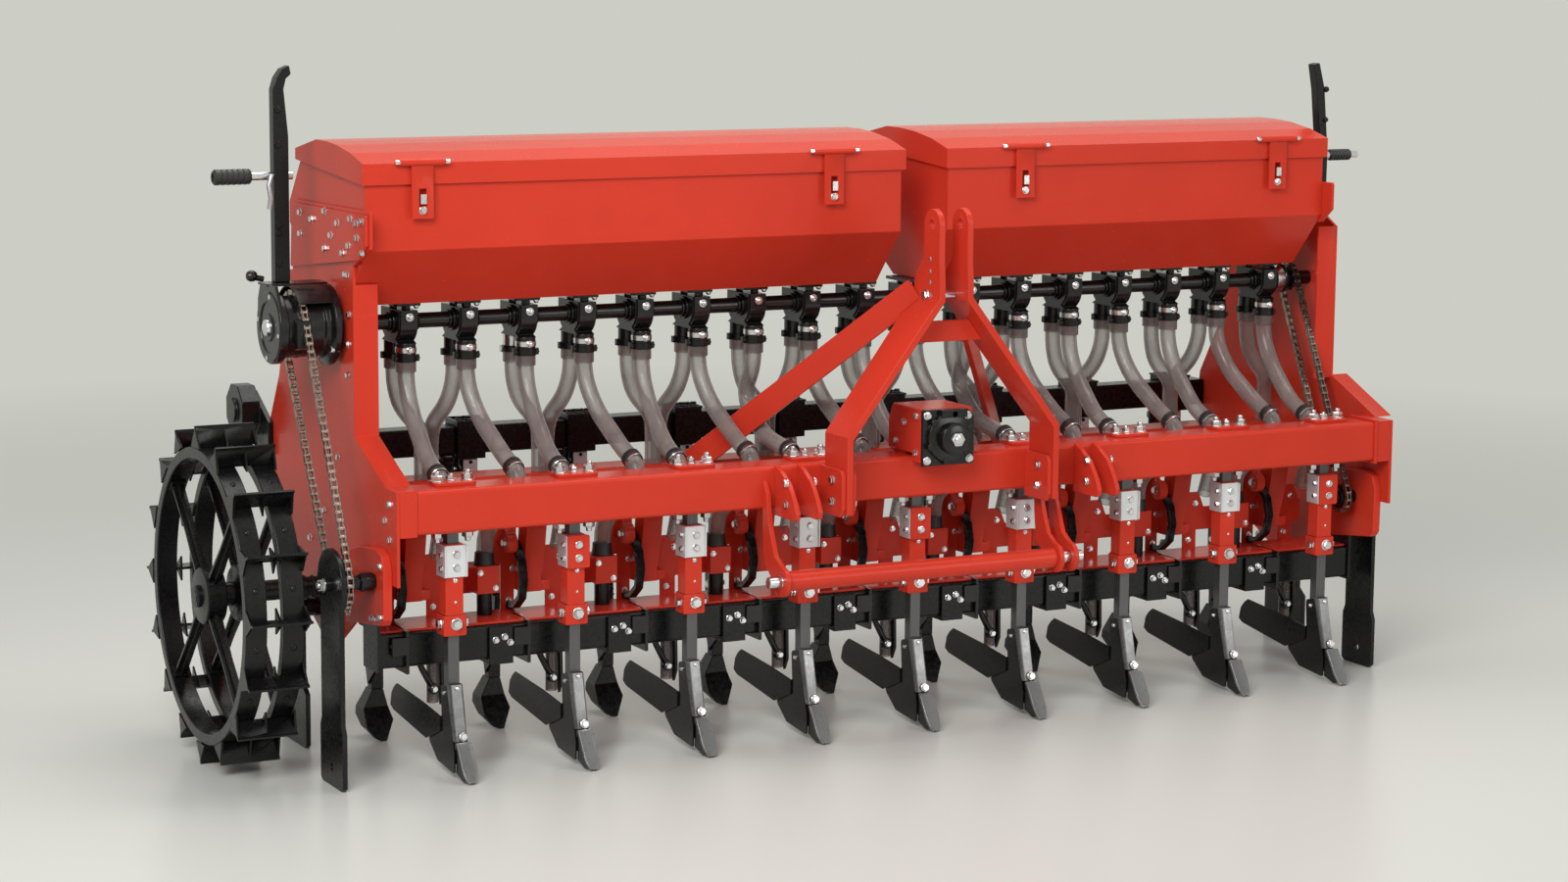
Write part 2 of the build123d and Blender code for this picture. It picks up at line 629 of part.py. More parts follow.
doubler = [(beam_front, 668), (-52, 668), (-60, 655), (-60, 575), (-48, 556), (beam_front, 556)]
for x0 in (-foot_x - doubler_thick, -foot_in + seat_gap, foot_in - doubler_thick):
    add("link_brackets", prism("X", x0, x0 + doubler_thick - seat_gap, doubler))

brace_width = 14
brace_depth = 62
brace_foot = row_pitch * 1.5 - 2      # between the hoses of the second and third openers
brace = bar_between((-ear_out - 8, 40, 1070), (-brace_foot, rear_beam_front + 4, rear_beam_top - 15), brace_width,
                    brace_depth)
brace -= leg
brace -= block(-2 * brace_foot, 600, rear_beam_front, 700, 0, 900)
brace -= block(-ear_out, 600, -100, 300, 900, 1300)
add("headstock_braces", brace, mirror_x(brace))

cross = prism("Y", 0, 10, [(-80, 1000), (80, 1000), (110, 950), (-110, 950)])
cross -= leg
cross -= mirror_x(leg)
add("headstock_braces", cross)
add("hitch_pins", rod("X", 9, -ear_half_gap, ear_half_gap, 0, 1062))

# gearbox
gearbox = prism("X", gear_x - gear_half, gear_x + gear_half,
                [(0, beam_top - 12), (beam_front - 7, beam_top - 12), (beam_front - 7, beam_top + plate_thick),
                 (160, beam_top + plate_thick), (160, gear_top - 40), (138, gear_top), (0, gear_top)])
add("gearbox", gearbox)
pto_z = 722
pto_r = 11
cover = block(gear_x - gear_half, gear_x + gear_half, -10, 0, beam_top - 20, gear_top)
cover += rod("Y", 60, -30, -10, gear_x, pto_z) + rod("Y", 38, -52, -30, gear_x, pto_z)
add("pto_cover", cover - rod("Y", pto_r + seat_gap, -60, 1, gear_x, pto_z))
add("pto_shaft", rod("Y", pto_r, -66, 0, gear_x, pto_z))

# ---------------------------------------------------------------- rear bar and what is clamped to it
rear_bar_front = 900
rear_bar_width = 60
rear_bar_height = 70
rear_bar_bottom = 607
rear_bar_back = rear_bar_front + rear_bar_width
rear_bar_top = rear_bar_bottom + rear_bar_height
rear_bar = block(-side_in + seat_gap, side_in - seat_gap, rear_bar_front, rear_bar_back, rear_bar_bottom,
                 rear_bar_top)
add("rear_bar", rear_bar)
clip_half = 38
clip_wall = 12
grip_shift = 58               # the clamps of the rear bar stand beside the openers
for i in range(row_count):
    x = row_x(i) + grip_shift
    grip = block(x - clip_half, x + clip_half, rear_bar_front - clip_wall, rear_bar_back + clip_wall,
                 rear_bar_bottom - clip_wall, rear_bar_top + clip_wall + 4)
    grip += block(x - 22, x + 22, rear_bar_front + 5, rear_bar_back - 12, 505, rear_bar_bottom)
    grip += block(x - 60, x - 20, rear_bar_front + 8, rear_bar_back - 20, 520, 560)
    add("bar_clamps", grip - rear_bar)
    knob_top = rear_bar_bottom - clip_wall - 3
    add("bar_clamps", rod("Z", 8, 560 + seat_gap, knob_top - 18, x - 48, rear_bar_front + 24)
        + rod("Z", 24, knob_top - 18, knob_top, x - 48, rear_bar_front + 24))
hub_arm = prism("X", -side_out - 14, -side_out, [(880, 640), (940, 640), (1030, 690), (1046, 745), (1000, 785),
                                                 (880, 720)])
hub_y = 1000
hub_z = 738
hub_across = 62
corner = hub_across * math.tan(math.radians(22.5))
octagon = [(corner, hub_across), (hub_across, corner), (hub_across, -corner), (corner, -hub_across),
           (-corner, -hub_across), (-hub_across, -corner), (-hub_across, corner), (-corner, hub_across)]
octagon = [(hub_y + y, hub_z + z) for y, z in octagon]
add("rear_hub", hub_arm + prism("X", -side_out - 60, -side_out - 14, octagon)
    + rod("X", 30, -side_out - 68, -side_out - 60, hub_y, hub_z))

# ---------------------------------------------------------------- ground wheel
wheel_inner = -side_out - wheel_gap
wheel_outer = wheel_inner - rim_spacing - rim_width
rim_low = rim_r - rim_depth
for x0 in (wheel_outer, wheel_outer + rim_spacing):
    rim = rod("X", rim_r, x0, x0 + rim_width, wheel_y, wheel_z)
    rim -= rod("X", rim_low, x0 - 1, x0 + rim_width + 1, wheel_y, wheel_z)
    add("wheel_rims", rim)
    mid = x0 + rim_width / 2
    for k in range(4):
        angle = math.radians(45 + 90 * k)
        dy = math.cos(angle)
        dz = math.sin(angle)
        near = hub_r - 15
        far = rim_r - 5
        spoke = bar_between((mid, wheel_y + near * dy, wheel_z + near * dz),
                            (mid, wheel_y + far * dy, wheel_z + far * dz), 34, 16, (1, 0, 0))
        add("wheel_spokes", spoke - rim - rod("X", hub_r, x0, x0 + rim_width, wheel_y, wheel_z))
lug_tip = wheel_z
lug_root = rim_r + seat_gap
for k in range(lug_count):
    angle = 360 / lug_count * k - 90
    cleat = block(wheel_outer - 2, wheel_inner + 2, lug_root, lug_tip, -3, 3)
    for x in (wheel_outer - 2, (wheel_outer + wheel_inner) / 2 - 2.5, wheel_inner - 3):
        cleat += prism("X", x, x + 5, [(lug_root + 1, -30), (lug_tip - 8, 0), (lug_root + 1, 30)])
    add("wheel_lugs", Pos(0, wheel_y, wheel_z) * Rot(angle, 0, 0) * cleat)
axle_tube_end = -side_out - 39
hub = rod("X", hub_r, wheel_outer - 5, wheel_inner, wheel_y, wheel_z)
hub += rod("X", 24, wheel_inner, axle_tube_end, wheel_y, wheel_z)
add("wheel_hub", hub - rod("X", axle_r + run_clear, wheel_outer - 20, axle_tube_end + 10, wheel_y, wheel_z))
add("axle_stubs", rod("X", axle_r, wheel_outer - 10, -side_out, wheel_y, wheel_z)
    + rod("X", 40, axle_tube_end + 8, -side_out, wheel_y, wheel_z))

# ---------------------------------------------------------------- metering drive
chain_left = -side_out - 108          # left face of the outer chain
top_r = 80
low_r = 60
ring_r = 93
drum_left = -side_out - 163
drum_right = -side_out - 15
drum = rod("X", 71, drum_left, drum_right, meter_y, meter_z)
drum += rod("X", 88, drum_left, drum_left + 26, meter_y, meter_z)
drum += rod("X", ring_r, drum_right - 14, drum_right, meter_y, meter_z)
drum += rod("X", 60, drum_right, -side_out, meter_y, meter_z)
shelf_top = meter_z + ring_r + 5
drum += block(drum_left, drum_right, meter_y + 10, meter_y + 70, meter_z + top_r + 7, shelf_top)
drum += block(drum_left, drum_left + 26, meter_y + 10, meter_y + 70, meter_z, shelf_top)
drum += block(drum_right - 14, drum_right, meter_y + 10, meter_y + 70, meter_z, shelf_top)
hood = pipe("X", top_r + chain_thick + 4, top_r + chain_thick, chain_left - 6, drum_right, meter_y, meter_z)
# the front run of the chain leaves under the hood's front edge
drum += hood & block(chain_left - 10, drum_right, meter_y - 72, meter_y + 200, meter_z - 5, meter_z + 200)
drum -= rod("X", meter_shaft_r + seat_gap, shaft_left - 1, -side_out + 1, meter_y, meter_z)
right_drum = rod("X", 78, side_out, side_out + 34, meter_y + 6, meter_z + 12)
right_drum += block(side_out, side_out + 78, meter_y + 30, meter_y + 70, meter_z + 60, shelf_top)
add("drive_drum", drum, right_drum)
add("drive_chains", belt(chain_left, chain_left + chain_width, (meter_y, meter_z, top_r),
                         (counter_y, counter_z, low_r), chain_thick))
add("drive_chains", belt(right_chain_x, right_chain_x + chain_width, (meter_y, meter_z, right_r),
                         (right_counter_y, counter_z, right_r), chain_thick))
stand_x = -side_out - 127             # left face of the front left parking leg
add("countershaft", rod("X", axle_r, stand_x - 14, -side_out, counter_y, counter_z)
    + rod("X", low_r - sprocket_gap, chain_left + 3, chain_left + chain_width - 3, counter_y, counter_z),
    rod("X", axle_r, right_chain_x - 8, side_in, right_counter_y, counter_z)
    + rod("X", right_r - sprocket_gap, right_chain_x + 3, right_chain_x + chain_width - 3, right_counter_y,
          counter_z))

# ---------------------------------------------------------------- depth levers
lever_y0 = meter_y + 35
lever_y1 = meter_y + 65
lever_mid = (lever_y0 + lever_y1) / 2
lever_x = -side_out - 131             # left face of the left lever
left_lever = [(0, shelf_top), (36, shelf_top), (36, 1440), (26, 1546), (32, 1570), (44, 1580), (40, 1600),
              (22, 1592), (8, 1572), (0, 1546)]
add("depth_levers", prism("Y", lever_y0, lever_y1, [(lever_x + x, z) for x, z in left_lever]))
right_lever_x = side_out + 40
right_lever = [(8, shelf_top), (30, shelf_top), (32, 1334), (16, 1503), (-2, 1570), (-20, 1566), (-8, 1500),
               (8, 1334)]
add("depth_levers", prism("Y", lever_y0, lever_y1, [(right_lever_x + x, z) for x, z in right_lever]))
left_handle_z = 1349
right_handle_z = 1325
left_shaft = rod("X", 9.5, lever_x - 70, lever_x + 48, lever_mid, left_handle_z)
left_shaft -= block(lever_x - seat_gap, lever_x + 36 + seat_gap, lever_y0, lever_y1, 1300, 1400)
add("handle_shafts", left_shaft)
right_shaft = rod("X", 9.5, right_lever_x - 10, right_lever_x + 135, lever_mid, right_handle_z)
right_shaft -= prism("Y", lever_y0, lever_y1, [(right_lever_x + x, z) for x, z in right_lever])
add("handle_shafts", right_shaft)
add("handle_grips", pipe("X", 18, 9.5 + seat_gap, lever_x - 140, lever_x - 52, lever_mid, left_handle_z),
    pipe("X", 15, 9.5 + seat_gap, right_lever_x + 44, right_lever_x + 112, lever_mid, right_handle_z))

# ---------------------------------------------------------------- parking legs
# name, inner face of the plate beyond the side plate, pivot Y, pivot Z, lobe radius, half width, foot half width
stand_thick = 12
stands = [
    ("parking_leg_front_left", 115, counter_y, counter_z, 82, 64, 74),
    ("parking_leg_rear_left", 51, 577, 330, 62, 62, 88),
    ("parking_leg_front_right", 31, 215, 440, 64, 55, 64),
    ("parking_leg_rear_right", 51, 577, 330, 62, 62, 88),
]
for name, offset, y, z, lobe, half, foot in stands:
    x0 = side_out + offset
    x1 = x0 + stand_thick
    leg_shape = rod("X", lobe, x0, x1, y, z)
    leg_shape += block(x0, x1, y - half, y + half, 140, z)
    leg_shape += prism("X", x0, x1, [(y - half, 150), (y + half, 150), (y + foot, 130), (y + foot, 8),
                                     (y + foot - 12, 0), (y - foot + 12, 0), (y - foot, 8), (y - foot, 130)])
    leg_shape -= rod("X", axle_r + run_clear, x0 - 1, x1 + 1, y, z)
    leg_shape -= rod("X", 9, x0 - 1, x1 + 1, y, 45)
    stub = rod("X", axle_r, side_out, x1 + 8, y, z) + rod("X", 30, side_out, x0 - 1, y, z)
    left = name.endswith("left")
    add(name, mirror_x(leg_shape) if left else leg_shape)
    if y != counter_y:
        add("axle_stubs", mirror_x(stub) if left else stub)

# ---------------------------------------------------------------- write the pieces
everything = Compound(children=[Compound(solids) for solids in nodes.values()])
extent = everything.bounding_box()
shift = Vector(-(extent.min.X + extent.max.X) / 2, -(extent.min.Y + extent.max.Y) / 2, -extent.min.Z)
os.makedirs("parts", exist_ok=True)
for name, solids in nodes.items():
    moved = [Pos(*shift) * solid for solid in solids]
    shape = moved[0] if len(moved) == 1 else Compound(moved)
    export_step(shape, f"parts/{name}.step")
print("moved by", shift)
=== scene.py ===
import json
import math
import random

import bmesh
import bpy
from mathutils import Matrix, Vector

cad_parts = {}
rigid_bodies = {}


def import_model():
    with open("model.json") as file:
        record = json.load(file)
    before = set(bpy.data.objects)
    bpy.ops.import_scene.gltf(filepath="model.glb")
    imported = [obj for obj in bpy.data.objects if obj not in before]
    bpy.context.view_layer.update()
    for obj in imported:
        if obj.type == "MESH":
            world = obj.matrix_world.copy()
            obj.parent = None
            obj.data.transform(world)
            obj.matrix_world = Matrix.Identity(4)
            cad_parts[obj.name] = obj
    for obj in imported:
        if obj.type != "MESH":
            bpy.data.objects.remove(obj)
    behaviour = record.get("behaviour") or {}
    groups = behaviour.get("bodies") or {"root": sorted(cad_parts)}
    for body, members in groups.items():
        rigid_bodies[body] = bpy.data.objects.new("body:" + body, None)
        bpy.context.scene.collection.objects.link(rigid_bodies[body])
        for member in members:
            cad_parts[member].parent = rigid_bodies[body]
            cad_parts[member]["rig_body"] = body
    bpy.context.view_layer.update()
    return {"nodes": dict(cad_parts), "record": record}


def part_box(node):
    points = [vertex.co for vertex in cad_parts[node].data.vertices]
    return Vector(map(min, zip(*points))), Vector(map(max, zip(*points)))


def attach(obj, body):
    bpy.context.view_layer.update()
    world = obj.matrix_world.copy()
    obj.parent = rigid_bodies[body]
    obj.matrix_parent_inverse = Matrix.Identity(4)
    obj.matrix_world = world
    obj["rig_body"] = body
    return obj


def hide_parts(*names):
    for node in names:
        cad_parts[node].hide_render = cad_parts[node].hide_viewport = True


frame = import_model()
NODES = frame["nodes"]
SLOTS = {part["node"]: part["material_slot"] for part in frame["record"]["subparts"]}
dice = random.Random(7)

# Sizes below are millimetres in the drill's working frame: X across the machine from the
# middle of the front beam, Y to the rear from the front tips, Z up from the floor.
BEAM_FRONT = 50
beam_low, beam_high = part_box("front_beam")
ORIGIN = Vector(((beam_low.x + beam_high.x) / 2, beam_low.y - BEAM_FRONT / 1000, 0))


def metres(point):
    """A working point in the row's frame."""
    return ORIGIN + Vector(point) / 1000


def working(node):
    """The lowest and highest corner of a CAD node, in working millimetres."""
    return [(corner - ORIGIN) * 1000 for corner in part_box(node)]


def ends(node, axis):
    """Where a CAD node starts and ends along an axis, in whole working millimetres."""
    return [round(corner["XYZ".index(axis)]) for corner in working(node)]


def middle(node, axis):
    """The middle of a CAD node along an axis, in whole working millimetres."""
    return round(sum(corner["XYZ".index(axis)] for corner in working(node)) / 2)


def add_object(name, data):
    """A new object in the scene."""
    made = bpy.data.objects.new(name, data)
    bpy.context.scene.collection.objects.link(made)
    return made


# ---- camera
camera = add_object("camera", bpy.data.cameras.new("camera"))
bpy.context.scene.camera = camera
bpy.context.scene.view_settings.view_transform = "Standard"
camera.data.sensor_width = 36
camera.data.lens = 79.84
camera.data.clip_end = 300
yaw = math.radians(27.148)
pitch = math.radians(8.672)
roll = math.radians(0.465)
ahead = Vector((math.sin(yaw) * math.cos(pitch), math.cos(yaw) * math.cos(pitch), -math.sin(pitch)))
level = Vector((math.cos(yaw), -math.sin(yaw), 0))
upright = level.cross(ahead)
right = level * math.cos(roll) + upright * math.sin(roll)
up = upright * math.cos(roll) - level * math.sin(roll)
camera.matrix_world = Matrix.Translation(metres((-4064.7, -7105.3, 1956.1))) @ Matrix(
    (right, up, -ahead)).transposed().to_4x4()

# ---- materials
# bright metal that convex edges are mixed towards: partly worn metal, partly a painted edge highlight
WORN_AND_HIGHLIGHT_METAL = (0.6, 0.6, 0.6)


def add_node(tree, kind, values=(), links=(), **settings):
    """A shader node with its socket values, its links and its settings."""
    made = tree.nodes.new("ShaderNode" + kind)
    for key, value in settings.items():
        setattr(made, key, value)
    for socket, value in values:
        made.inputs[socket].default_value = value
    for socket, output in links:
        tree.links.new(output, made.inputs[socket])
    return made


def noise(tree, where, scale, detail=4, rough=0.6, stretch=None):
    """A noise texture over object coordinates, in metres."""
    if stretch:
        where = add_node(tree, "Mapping", [("Scale", stretch)], [("Vector", where)]).outputs[0]
    made = add_node(tree, "TexNoise", [("Scale", scale), ("Detail", detail), ("Roughness", rough)],
                    [("Vector", where)])
    return made.outputs["Fac"]


def spread(tree, value, low, high, to_low, to_high):
    """A value carried from one range to another, held at the ends."""
    return add_node(tree, "MapRange", [("From Min", low), ("From Max", high), ("To Min", to_low),
                                       ("To Max", to_high)], [("Value", value)]).outputs[0]


def blend_colours(tree, factor, first, second):
    """Two colours mixed by a factor; each is a colour or a socket."""
    made = add_node(tree, "Mix", [], [("Factor", factor)], data_type="RGBA")
    for socket, colour in ((6, first), (7, second)):
        if isinstance(colour, tuple):
            made.inputs[socket].default_value = (*colour, 1)
        else:
            tree.links.new(colour, made.inputs[socket])
    return made.outputs[2]


def finish_coat(name, base, rough, metal=0.0, tint=0.12, dust=0.06, dust_colour=(0.32, 0.3, 0.27),
                bump=0.05, bump_scale=260, wear_and_highlight=0.0, streak=None, specular=0.5):
    """A painted or bare surface: colour drift, dust, uneven gloss, fine bumps, and convex edges
    lightened towards bright metal, partly as real wear and partly as a painted highlight.
    """
    made = bpy.data.materials.new(name)
    made.use_nodes = True
    tree = made.node_tree
    shader = tree.nodes["Principled BSDF"]
    where = add_node(tree, "TexCoord").outputs["Object"]
    broad = noise(tree, where, 2.3, 3)
    fine = noise(tree, where, 85, 5, 0.65, streak)
    specks = noise(tree, where, 17, 9, 0.72)
    darker = tuple(c * (1 - tint) for c in base)
    lighter = tuple(min(1.0, c * (1 + tint)) for c in base)
    colour = blend_colours(tree, spread(tree, broad, 0.35, 0.65, 0, 1), darker, lighter)
    colour = blend_colours(tree, spread(tree, specks, 0.52, 0.78, 0, dust), colour, dust_colour)
    # convex edges are lightened towards bright metal in patches: partly real wear, partly a painted
    # highlight standing in for the shine along edges
    if wear_and_highlight:
        edge = add_node(tree, "NewGeometry").outputs["Pointiness"]
        edge = spread(tree, edge, 0.505, 0.56, 0, 1)
        patch = spread(tree, specks, 0.42, 0.6, 0, 1)
        worn_and_lit_edges = add_node(tree, "Math", [], [(0, edge), (1, patch)], operation="MULTIPLY").outputs[0]
        worn_and_lit_edges = add_node(tree, "Math", [(1, wear_and_highlight)], [(0, worn_and_lit_edges)], operation="MULTIPLY").outputs[0]
        colour = blend_colours(tree, worn_and_lit_edges, colour, WORN_AND_HIGHLIGHT_METAL)
    tree.links.new(colour, shader.inputs["Base Color"])
    gloss = spread(tree, fine, 0.3, 0.7, max(0.03, rough - 0.06), rough + 0.09)
    tree.links.new(gloss, shader.inputs["Roughness"])
    height = noise(tree, where, bump_scale, 3, 0.5, streak)
    bumps = add_node(tree, "Bump", [("Strength", bump), ("Distance", 0.001)], [("Height", height)])
    tree.links.new(bumps.outputs[0], shader.inputs["Normal"])
    shader.inputs["Metallic"].default_value = metal
    shader.inputs["Specular IOR Level"].default_value = specular
    return made


def clear_plastic(name, base, low, high, rough=0.13):
    """A clear tube wall: thin where it faces the eye, denser at its edges."""
    made = bpy.data.materials.new(name)
    made.use_nodes = True
    tree = made.node_tree
    shader = tree.nodes["Principled BSDF"]
    where = add_node(tree, "TexCoord").outputs["Object"]
    streaks = noise(tree, where, 40, 5, 0.6, (1, 1, 0.12))
    haze = noise(tree, where, 9, 4)
    darker = tuple(c * 0.72 for c in base)
    colour = blend_colours(tree, spread(tree, streaks, 0.35, 0.65, 0, 1), darker, base)
    tree.links.new(colour, shader.inputs["Base Color"])
    facing = add_node(tree, "LayerWeight", [("Blend", 0.45)]).outputs["Facing"]
    solid = spread(tree, facing, 0.05, 0.85, low, high)
    drift = spread(tree, haze, 0.3, 0.7, 0.85, 1.15)
    solid = add_node(tree, "Math", [], [(0, solid), (1, drift)], operation="MULTIPLY").outputs[0]
    tree.links.new(solid, shader.inputs["Alpha"])
    gloss = spread(tree, streaks, 0.3, 0.7, rough - 0.04, rough + 0.1)
    tree.links.new(gloss, shader.inputs["Roughness"])
    ripple = add_node(tree, "Bump", [("Strength", 0.12), ("Distance", 0.002)], [("Height", streaks)])
    tree.links.new(ripple.outputs[0], shader.inputs["Normal"])
    return made


RED = finish_coat("red_gloss_paint", (0.60, 0.042, 0.021), 0.2, tint=0.05, dust=0.008, bump=0.01,
                  bump_scale=330, specular=0.14)
BLACK = finish_coat("black_satin_paint", (0.0035, 0.0035, 0.004), 0.26, dust=0.005, bump=0.02,
                    specular=0.32)
DARK = finish_coat("black_cast_parts", (0.006, 0.0055, 0.0055), 0.2, tint=0.2, dust=0.005, bump=0.015,
                   bump_scale=140, specular=0.4)
SHARE = finish_coat("black_share_paint", (0.004, 0.004, 0.0045), 0.22, tint=0.2, dust=0.005, bump=0.01,
                    bump_scale=120, specular=0.35)
# its convex edges are lightened: partly worn steel, partly a painted edge highlight
STEEL = finish_coat("ground_steel", (0.20, 0.20, 0.205), 0.3, metal=0.75, dust=0.02, bump=0.02, wear_and_highlight=0.4)
BAR = finish_coat("grey_drawn_steel", (0.11, 0.11, 0.112), 0.3, metal=0.6, tint=0.1, dust=0.015,
                  bump=0.04, streak=(1, 1, 0.08))
ZINC = finish_coat("bright_zinc", (0.68, 0.68, 0.69), 0.2, metal=1.0, dust=0.12, bump=0.06,
                   dust_colour=(0.16, 0.12, 0.09))
GALVANISED = finish_coat("galvanised_sheet", (0.72, 0.73, 0.74), 0.38, metal=0.5, tint=0.06, dust=0.05,
                         bump_scale=60)
CHAIN = finish_coat("oiled_chain_steel", (0.30, 0.25, 0.21), 0.26, metal=0.95, tint=0.5, dust=0.7,
                    dust_colour=(0.10, 0.035, 0.02), bump=0.1)
RUBBER = finish_coat("black_moulded_plastic", (0.012, 0.012, 0.012), 0.45, tint=0.1, dust=0.02,
                     bump=0.12, bump_scale=420)
GREY = finish_coat("grey_cast_lever", (0.30, 0.30, 0.31), 0.35, metal=0.6, tint=0.1, dust=0.03)
HOSE = clear_plastic("smoky_clear_hose", (0.34, 0.29, 0.27), 0.26, 0.96, 0.1)
SLEEVE = clear_plastic("smoky_hose_end", (0.20, 0.15, 0.135), 0.5, 0.97)

BY_SLOT = {"red_paint": RED, "black_paint": BLACK, "zinc_steel": ZINC, "galvanised_steel": GALVANISED,
           "clear_hose": HOSE, "black_plastic": RUBBER}

# ---- mesh building
SMOOTH = 35                    # faces that meet at less than this many degrees are shaded smooth


def place(axis, along, u, v):
    """A point from its place along an axis and its two other coordinates in X, Y, Z order."""
    if axis == "X":
        return (along, u, v)
    if axis == "Y":
        return (u, along, v)
    return (u, v, along)


class Shape:
    """Vertices and faces in working millimetres."""

    def __init__(self):
        self.verts = []
        self.faces = []

    def vert(self, point):
        """Adds a point and says its number."""
        self.verts.append(tuple(point))
        return len(self.verts) - 1

    def join(self, other, matrix):
        """Adds another shape, moved by a matrix."""
        start = len(self.verts)
        self.verts += [tuple(matrix @ Vector(point)) for point in other.verts]
        self.faces += [[index + start for index in face] for face in other.faces]

    def skin(self, rings, closed=False, caps=True):
        """Faces between rings of vertex numbers; a ring of one vertex is a pole."""
        pairs = list(zip(rings, rings[1:]))
        if closed:
            pairs.append((rings[-1], rings[0]))
        for first, second in pairs:
            count = max(len(first), len(second))
            for k in range(count):
                j = (k + 1) % count
                if len(first) == 1:
                    self.faces.append([first[0], second[j], second[k]])
                elif len(second) == 1:
                    self.faces.append([first[k], first[j], second[0]])
                else:
                    self.faces.append([first[k], first[j], second[j], second[k]])
        if caps and not closed:
            for ring in (rings[0], rings[-1]):
                if len(ring) > 2:
                    self.faces.append(list(ring))

    def spin(self, profile, axis, u, v, turns=28, closed=False, start=0.0):
        """A profile of (radius, along) turned about an axis through (u, v)."""
        angles = [start + 2 * math.pi * k / turns for k in range(turns)]
        rings = []
        for r, along in profile:
            if r < 1e-6:
                rings.append([self.vert(place(axis, along, u, v))])
            else:
                rings.append([self.vert(place(axis, along, u + r * math.cos(a), v + r * math.sin(a)))
                              for a in angles])
        self.skin(rings, closed)

    def slab(self, axis, low, high, outline):
        """A flat outline made thick along an axis."""
        self.skin([[self.vert(place(axis, along, u, v)) for u, v in outline] for along in (low, high)])

    def box(self, x0, x1, y0, y1, z0, z1):
        """A block between two corners."""
        self.slab("Z", z0, z1, [(x0, y0), (x1, y0), (x1, y1), (x0, y1)])

    def ring(self, axis, low, high, inner, outer, u, v, turns=28, chamfer=0.8):
        """A pipe with chamfered ends."""
        c = chamfer
        self.spin([(inner, low), (outer - c, low), (outer, low + c), (outer, high - c),
                   (outer - c, high), (inner, high)], axis, u, v, turns, closed=True)

    def disc(self, axis, low, high, radius, u, v, turns=28, chamfer=0.8):
        """A cylinder with chamfered ends."""
        c = chamfer
        self.spin([(0, low), (radius - c, low), (radius, low + c), (radius, high - c),
                   (radius - c, high), (0, high)], axis, u, v, turns)

    def tube(self, points, radius, turns=10):
        """A round bar along a list of points."""
        points = [Vector(point) for point in points]
        side = None
        rings = []
        for k, point in enumerate(points):
            way = (points[min(k + 1, len(points) - 1)] - points[max(k - 1, 0)]).normalized()
            if side is None:
                side = way.orthogonal().normalized()
            side = (side - way * side.dot(way)).normalized()
            other = way.cross(side)
            angles = [2 * math.pi * j / turns for j in range(turns)]
            rings.append([self.vert(point + radius * (side * math.cos(a) + other * math.sin(a)))
                          for a in angles])
        self.skin(rings)


WAYS = {"+X": (1, 0, 0), "-X": (-1, 0, 0), "+Y": (0, 1, 0), "-Y": (0, -1, 0),
        "+Z": (0, 0, 1), "-Z": (0, 0, -1)}
OUTWARD = {-1: "-X", 1: "+X"}  # the way out on each side


def aim(point, way):
    """A matrix that carries local Z to way, at point, with a random turn about it."""
    way = Vector(WAYS.get(way, way)).normalized()
    tilt = way.to_track_quat("Z", "Y").to_matrix()
    turn = tilt @ Matrix.Rotation(dice.uniform(0, math.pi / 3), 3, "Z")
    return Matrix.Translation(Vector(point)) @ turn.to_4x4()


def bolt(shape, point, way, across=22, head=9, stud=0, washer=1.35, domed=False):
    """A hexagon head or nut on a washer, standing off point along way."""
    local = Shape()
    thick = across * 0.1 if washer else 0
    if washer:
        local.spin([(0, -1), (across * washer / 2, -1), (across * washer / 2, thick - 0.5),
                    (across * washer / 2 - 0.6, thick), (0, thick)], "Z", 0, 0, 18)
    r = across / math.sqrt(3)
    if domed:
        local.spin([(r * 0.9, thick), (r * 0.86, thick + head * 0.45), (r * 0.6, thick + head * 0.85),
                    (0, thick + head)], "Z", 0, 0, 16)
    else:
        local.spin([(r, thick), (r, thick + head - across * 0.09), (r * 0.85, thick + head),
                    (0, thick + head)], "Z", 0, 0, 6)
    if stud:
        top = thick + head
        s = across * 0.29
        local.spin([(s, top - 1), (s, top + stud - 1.5), (s - 1.5, top + stud), (0, top + stud)],
                   "Z", 0, 0, 12)
    shape.join(local, aim(point, way))


def piece(name, shape, material, body="root", bevel=0.0, smooth=SMOOTH, stands_for=()):
    """A Blender object from a shape, in metres, riding on a body."""
    mesh = bpy.data.meshes.new(name)
    mesh.from_pydata([metres(point) for point in shape.verts], [], shape.faces)
    bm = bmesh.new()
    bm.from_mesh(mesh)
    bmesh.ops.recalc_face_normals(bm, faces=bm.faces)
    bm.to_mesh(mesh)
    bm.free()
    made = add_object(name, mesh)
    dress(made, material, bevel, smooth)
    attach(made, body)
    if stands_for:
        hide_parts(*stands_for)
    return made


def round_edges(made, width, angle):
    """A bevel, in metres, on the edges sharper than an angle in degrees."""
    edges = made.modifiers.new("edges", "BEVEL")
    edges.width = width
    edges.segments = 2
    edges.limit_method = "ANGLE"
    edges.angle_limit = math.radians(angle)
    return edges


def dress(made, material, bevel, smooth):
    """Material, smooth shading by angle and rounded edges."""
    mesh = made.data
    mesh.materials.clear()
    mesh.materials.append(material)
    mesh.polygons.foreach_set("use_smooth", [True] * len(mesh.polygons))
    mesh.set_sharp_from_angle(angle=math.radians(smooth))
    if bevel:
        edges = round_edges(made, bevel / 1000, 38)
        edges.use_clamp_overlap = False
        edges.harden_normals = True


def rounded(node, material, bevel):
    """A CAD node's own shape with its edges rounded."""
    source = NODES[node]
    mesh = source.data.copy()
    bm = bmesh.new()
    bm.from_mesh(mesh)
    bmesh.ops.remove_doubles(bm, verts=bm.verts, dist=2e-5)
    bmesh.ops.dissolve_limit(bm, angle_limit=math.radians(0.6), verts=bm.verts, edges=bm.edges)
    bm.to_mesh(mesh)
    bm.free()
    made = add_object(node + "_body", mesh)
    dress(made, material, bevel, SMOOTH)
    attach(made, source["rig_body"])
    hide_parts(node)


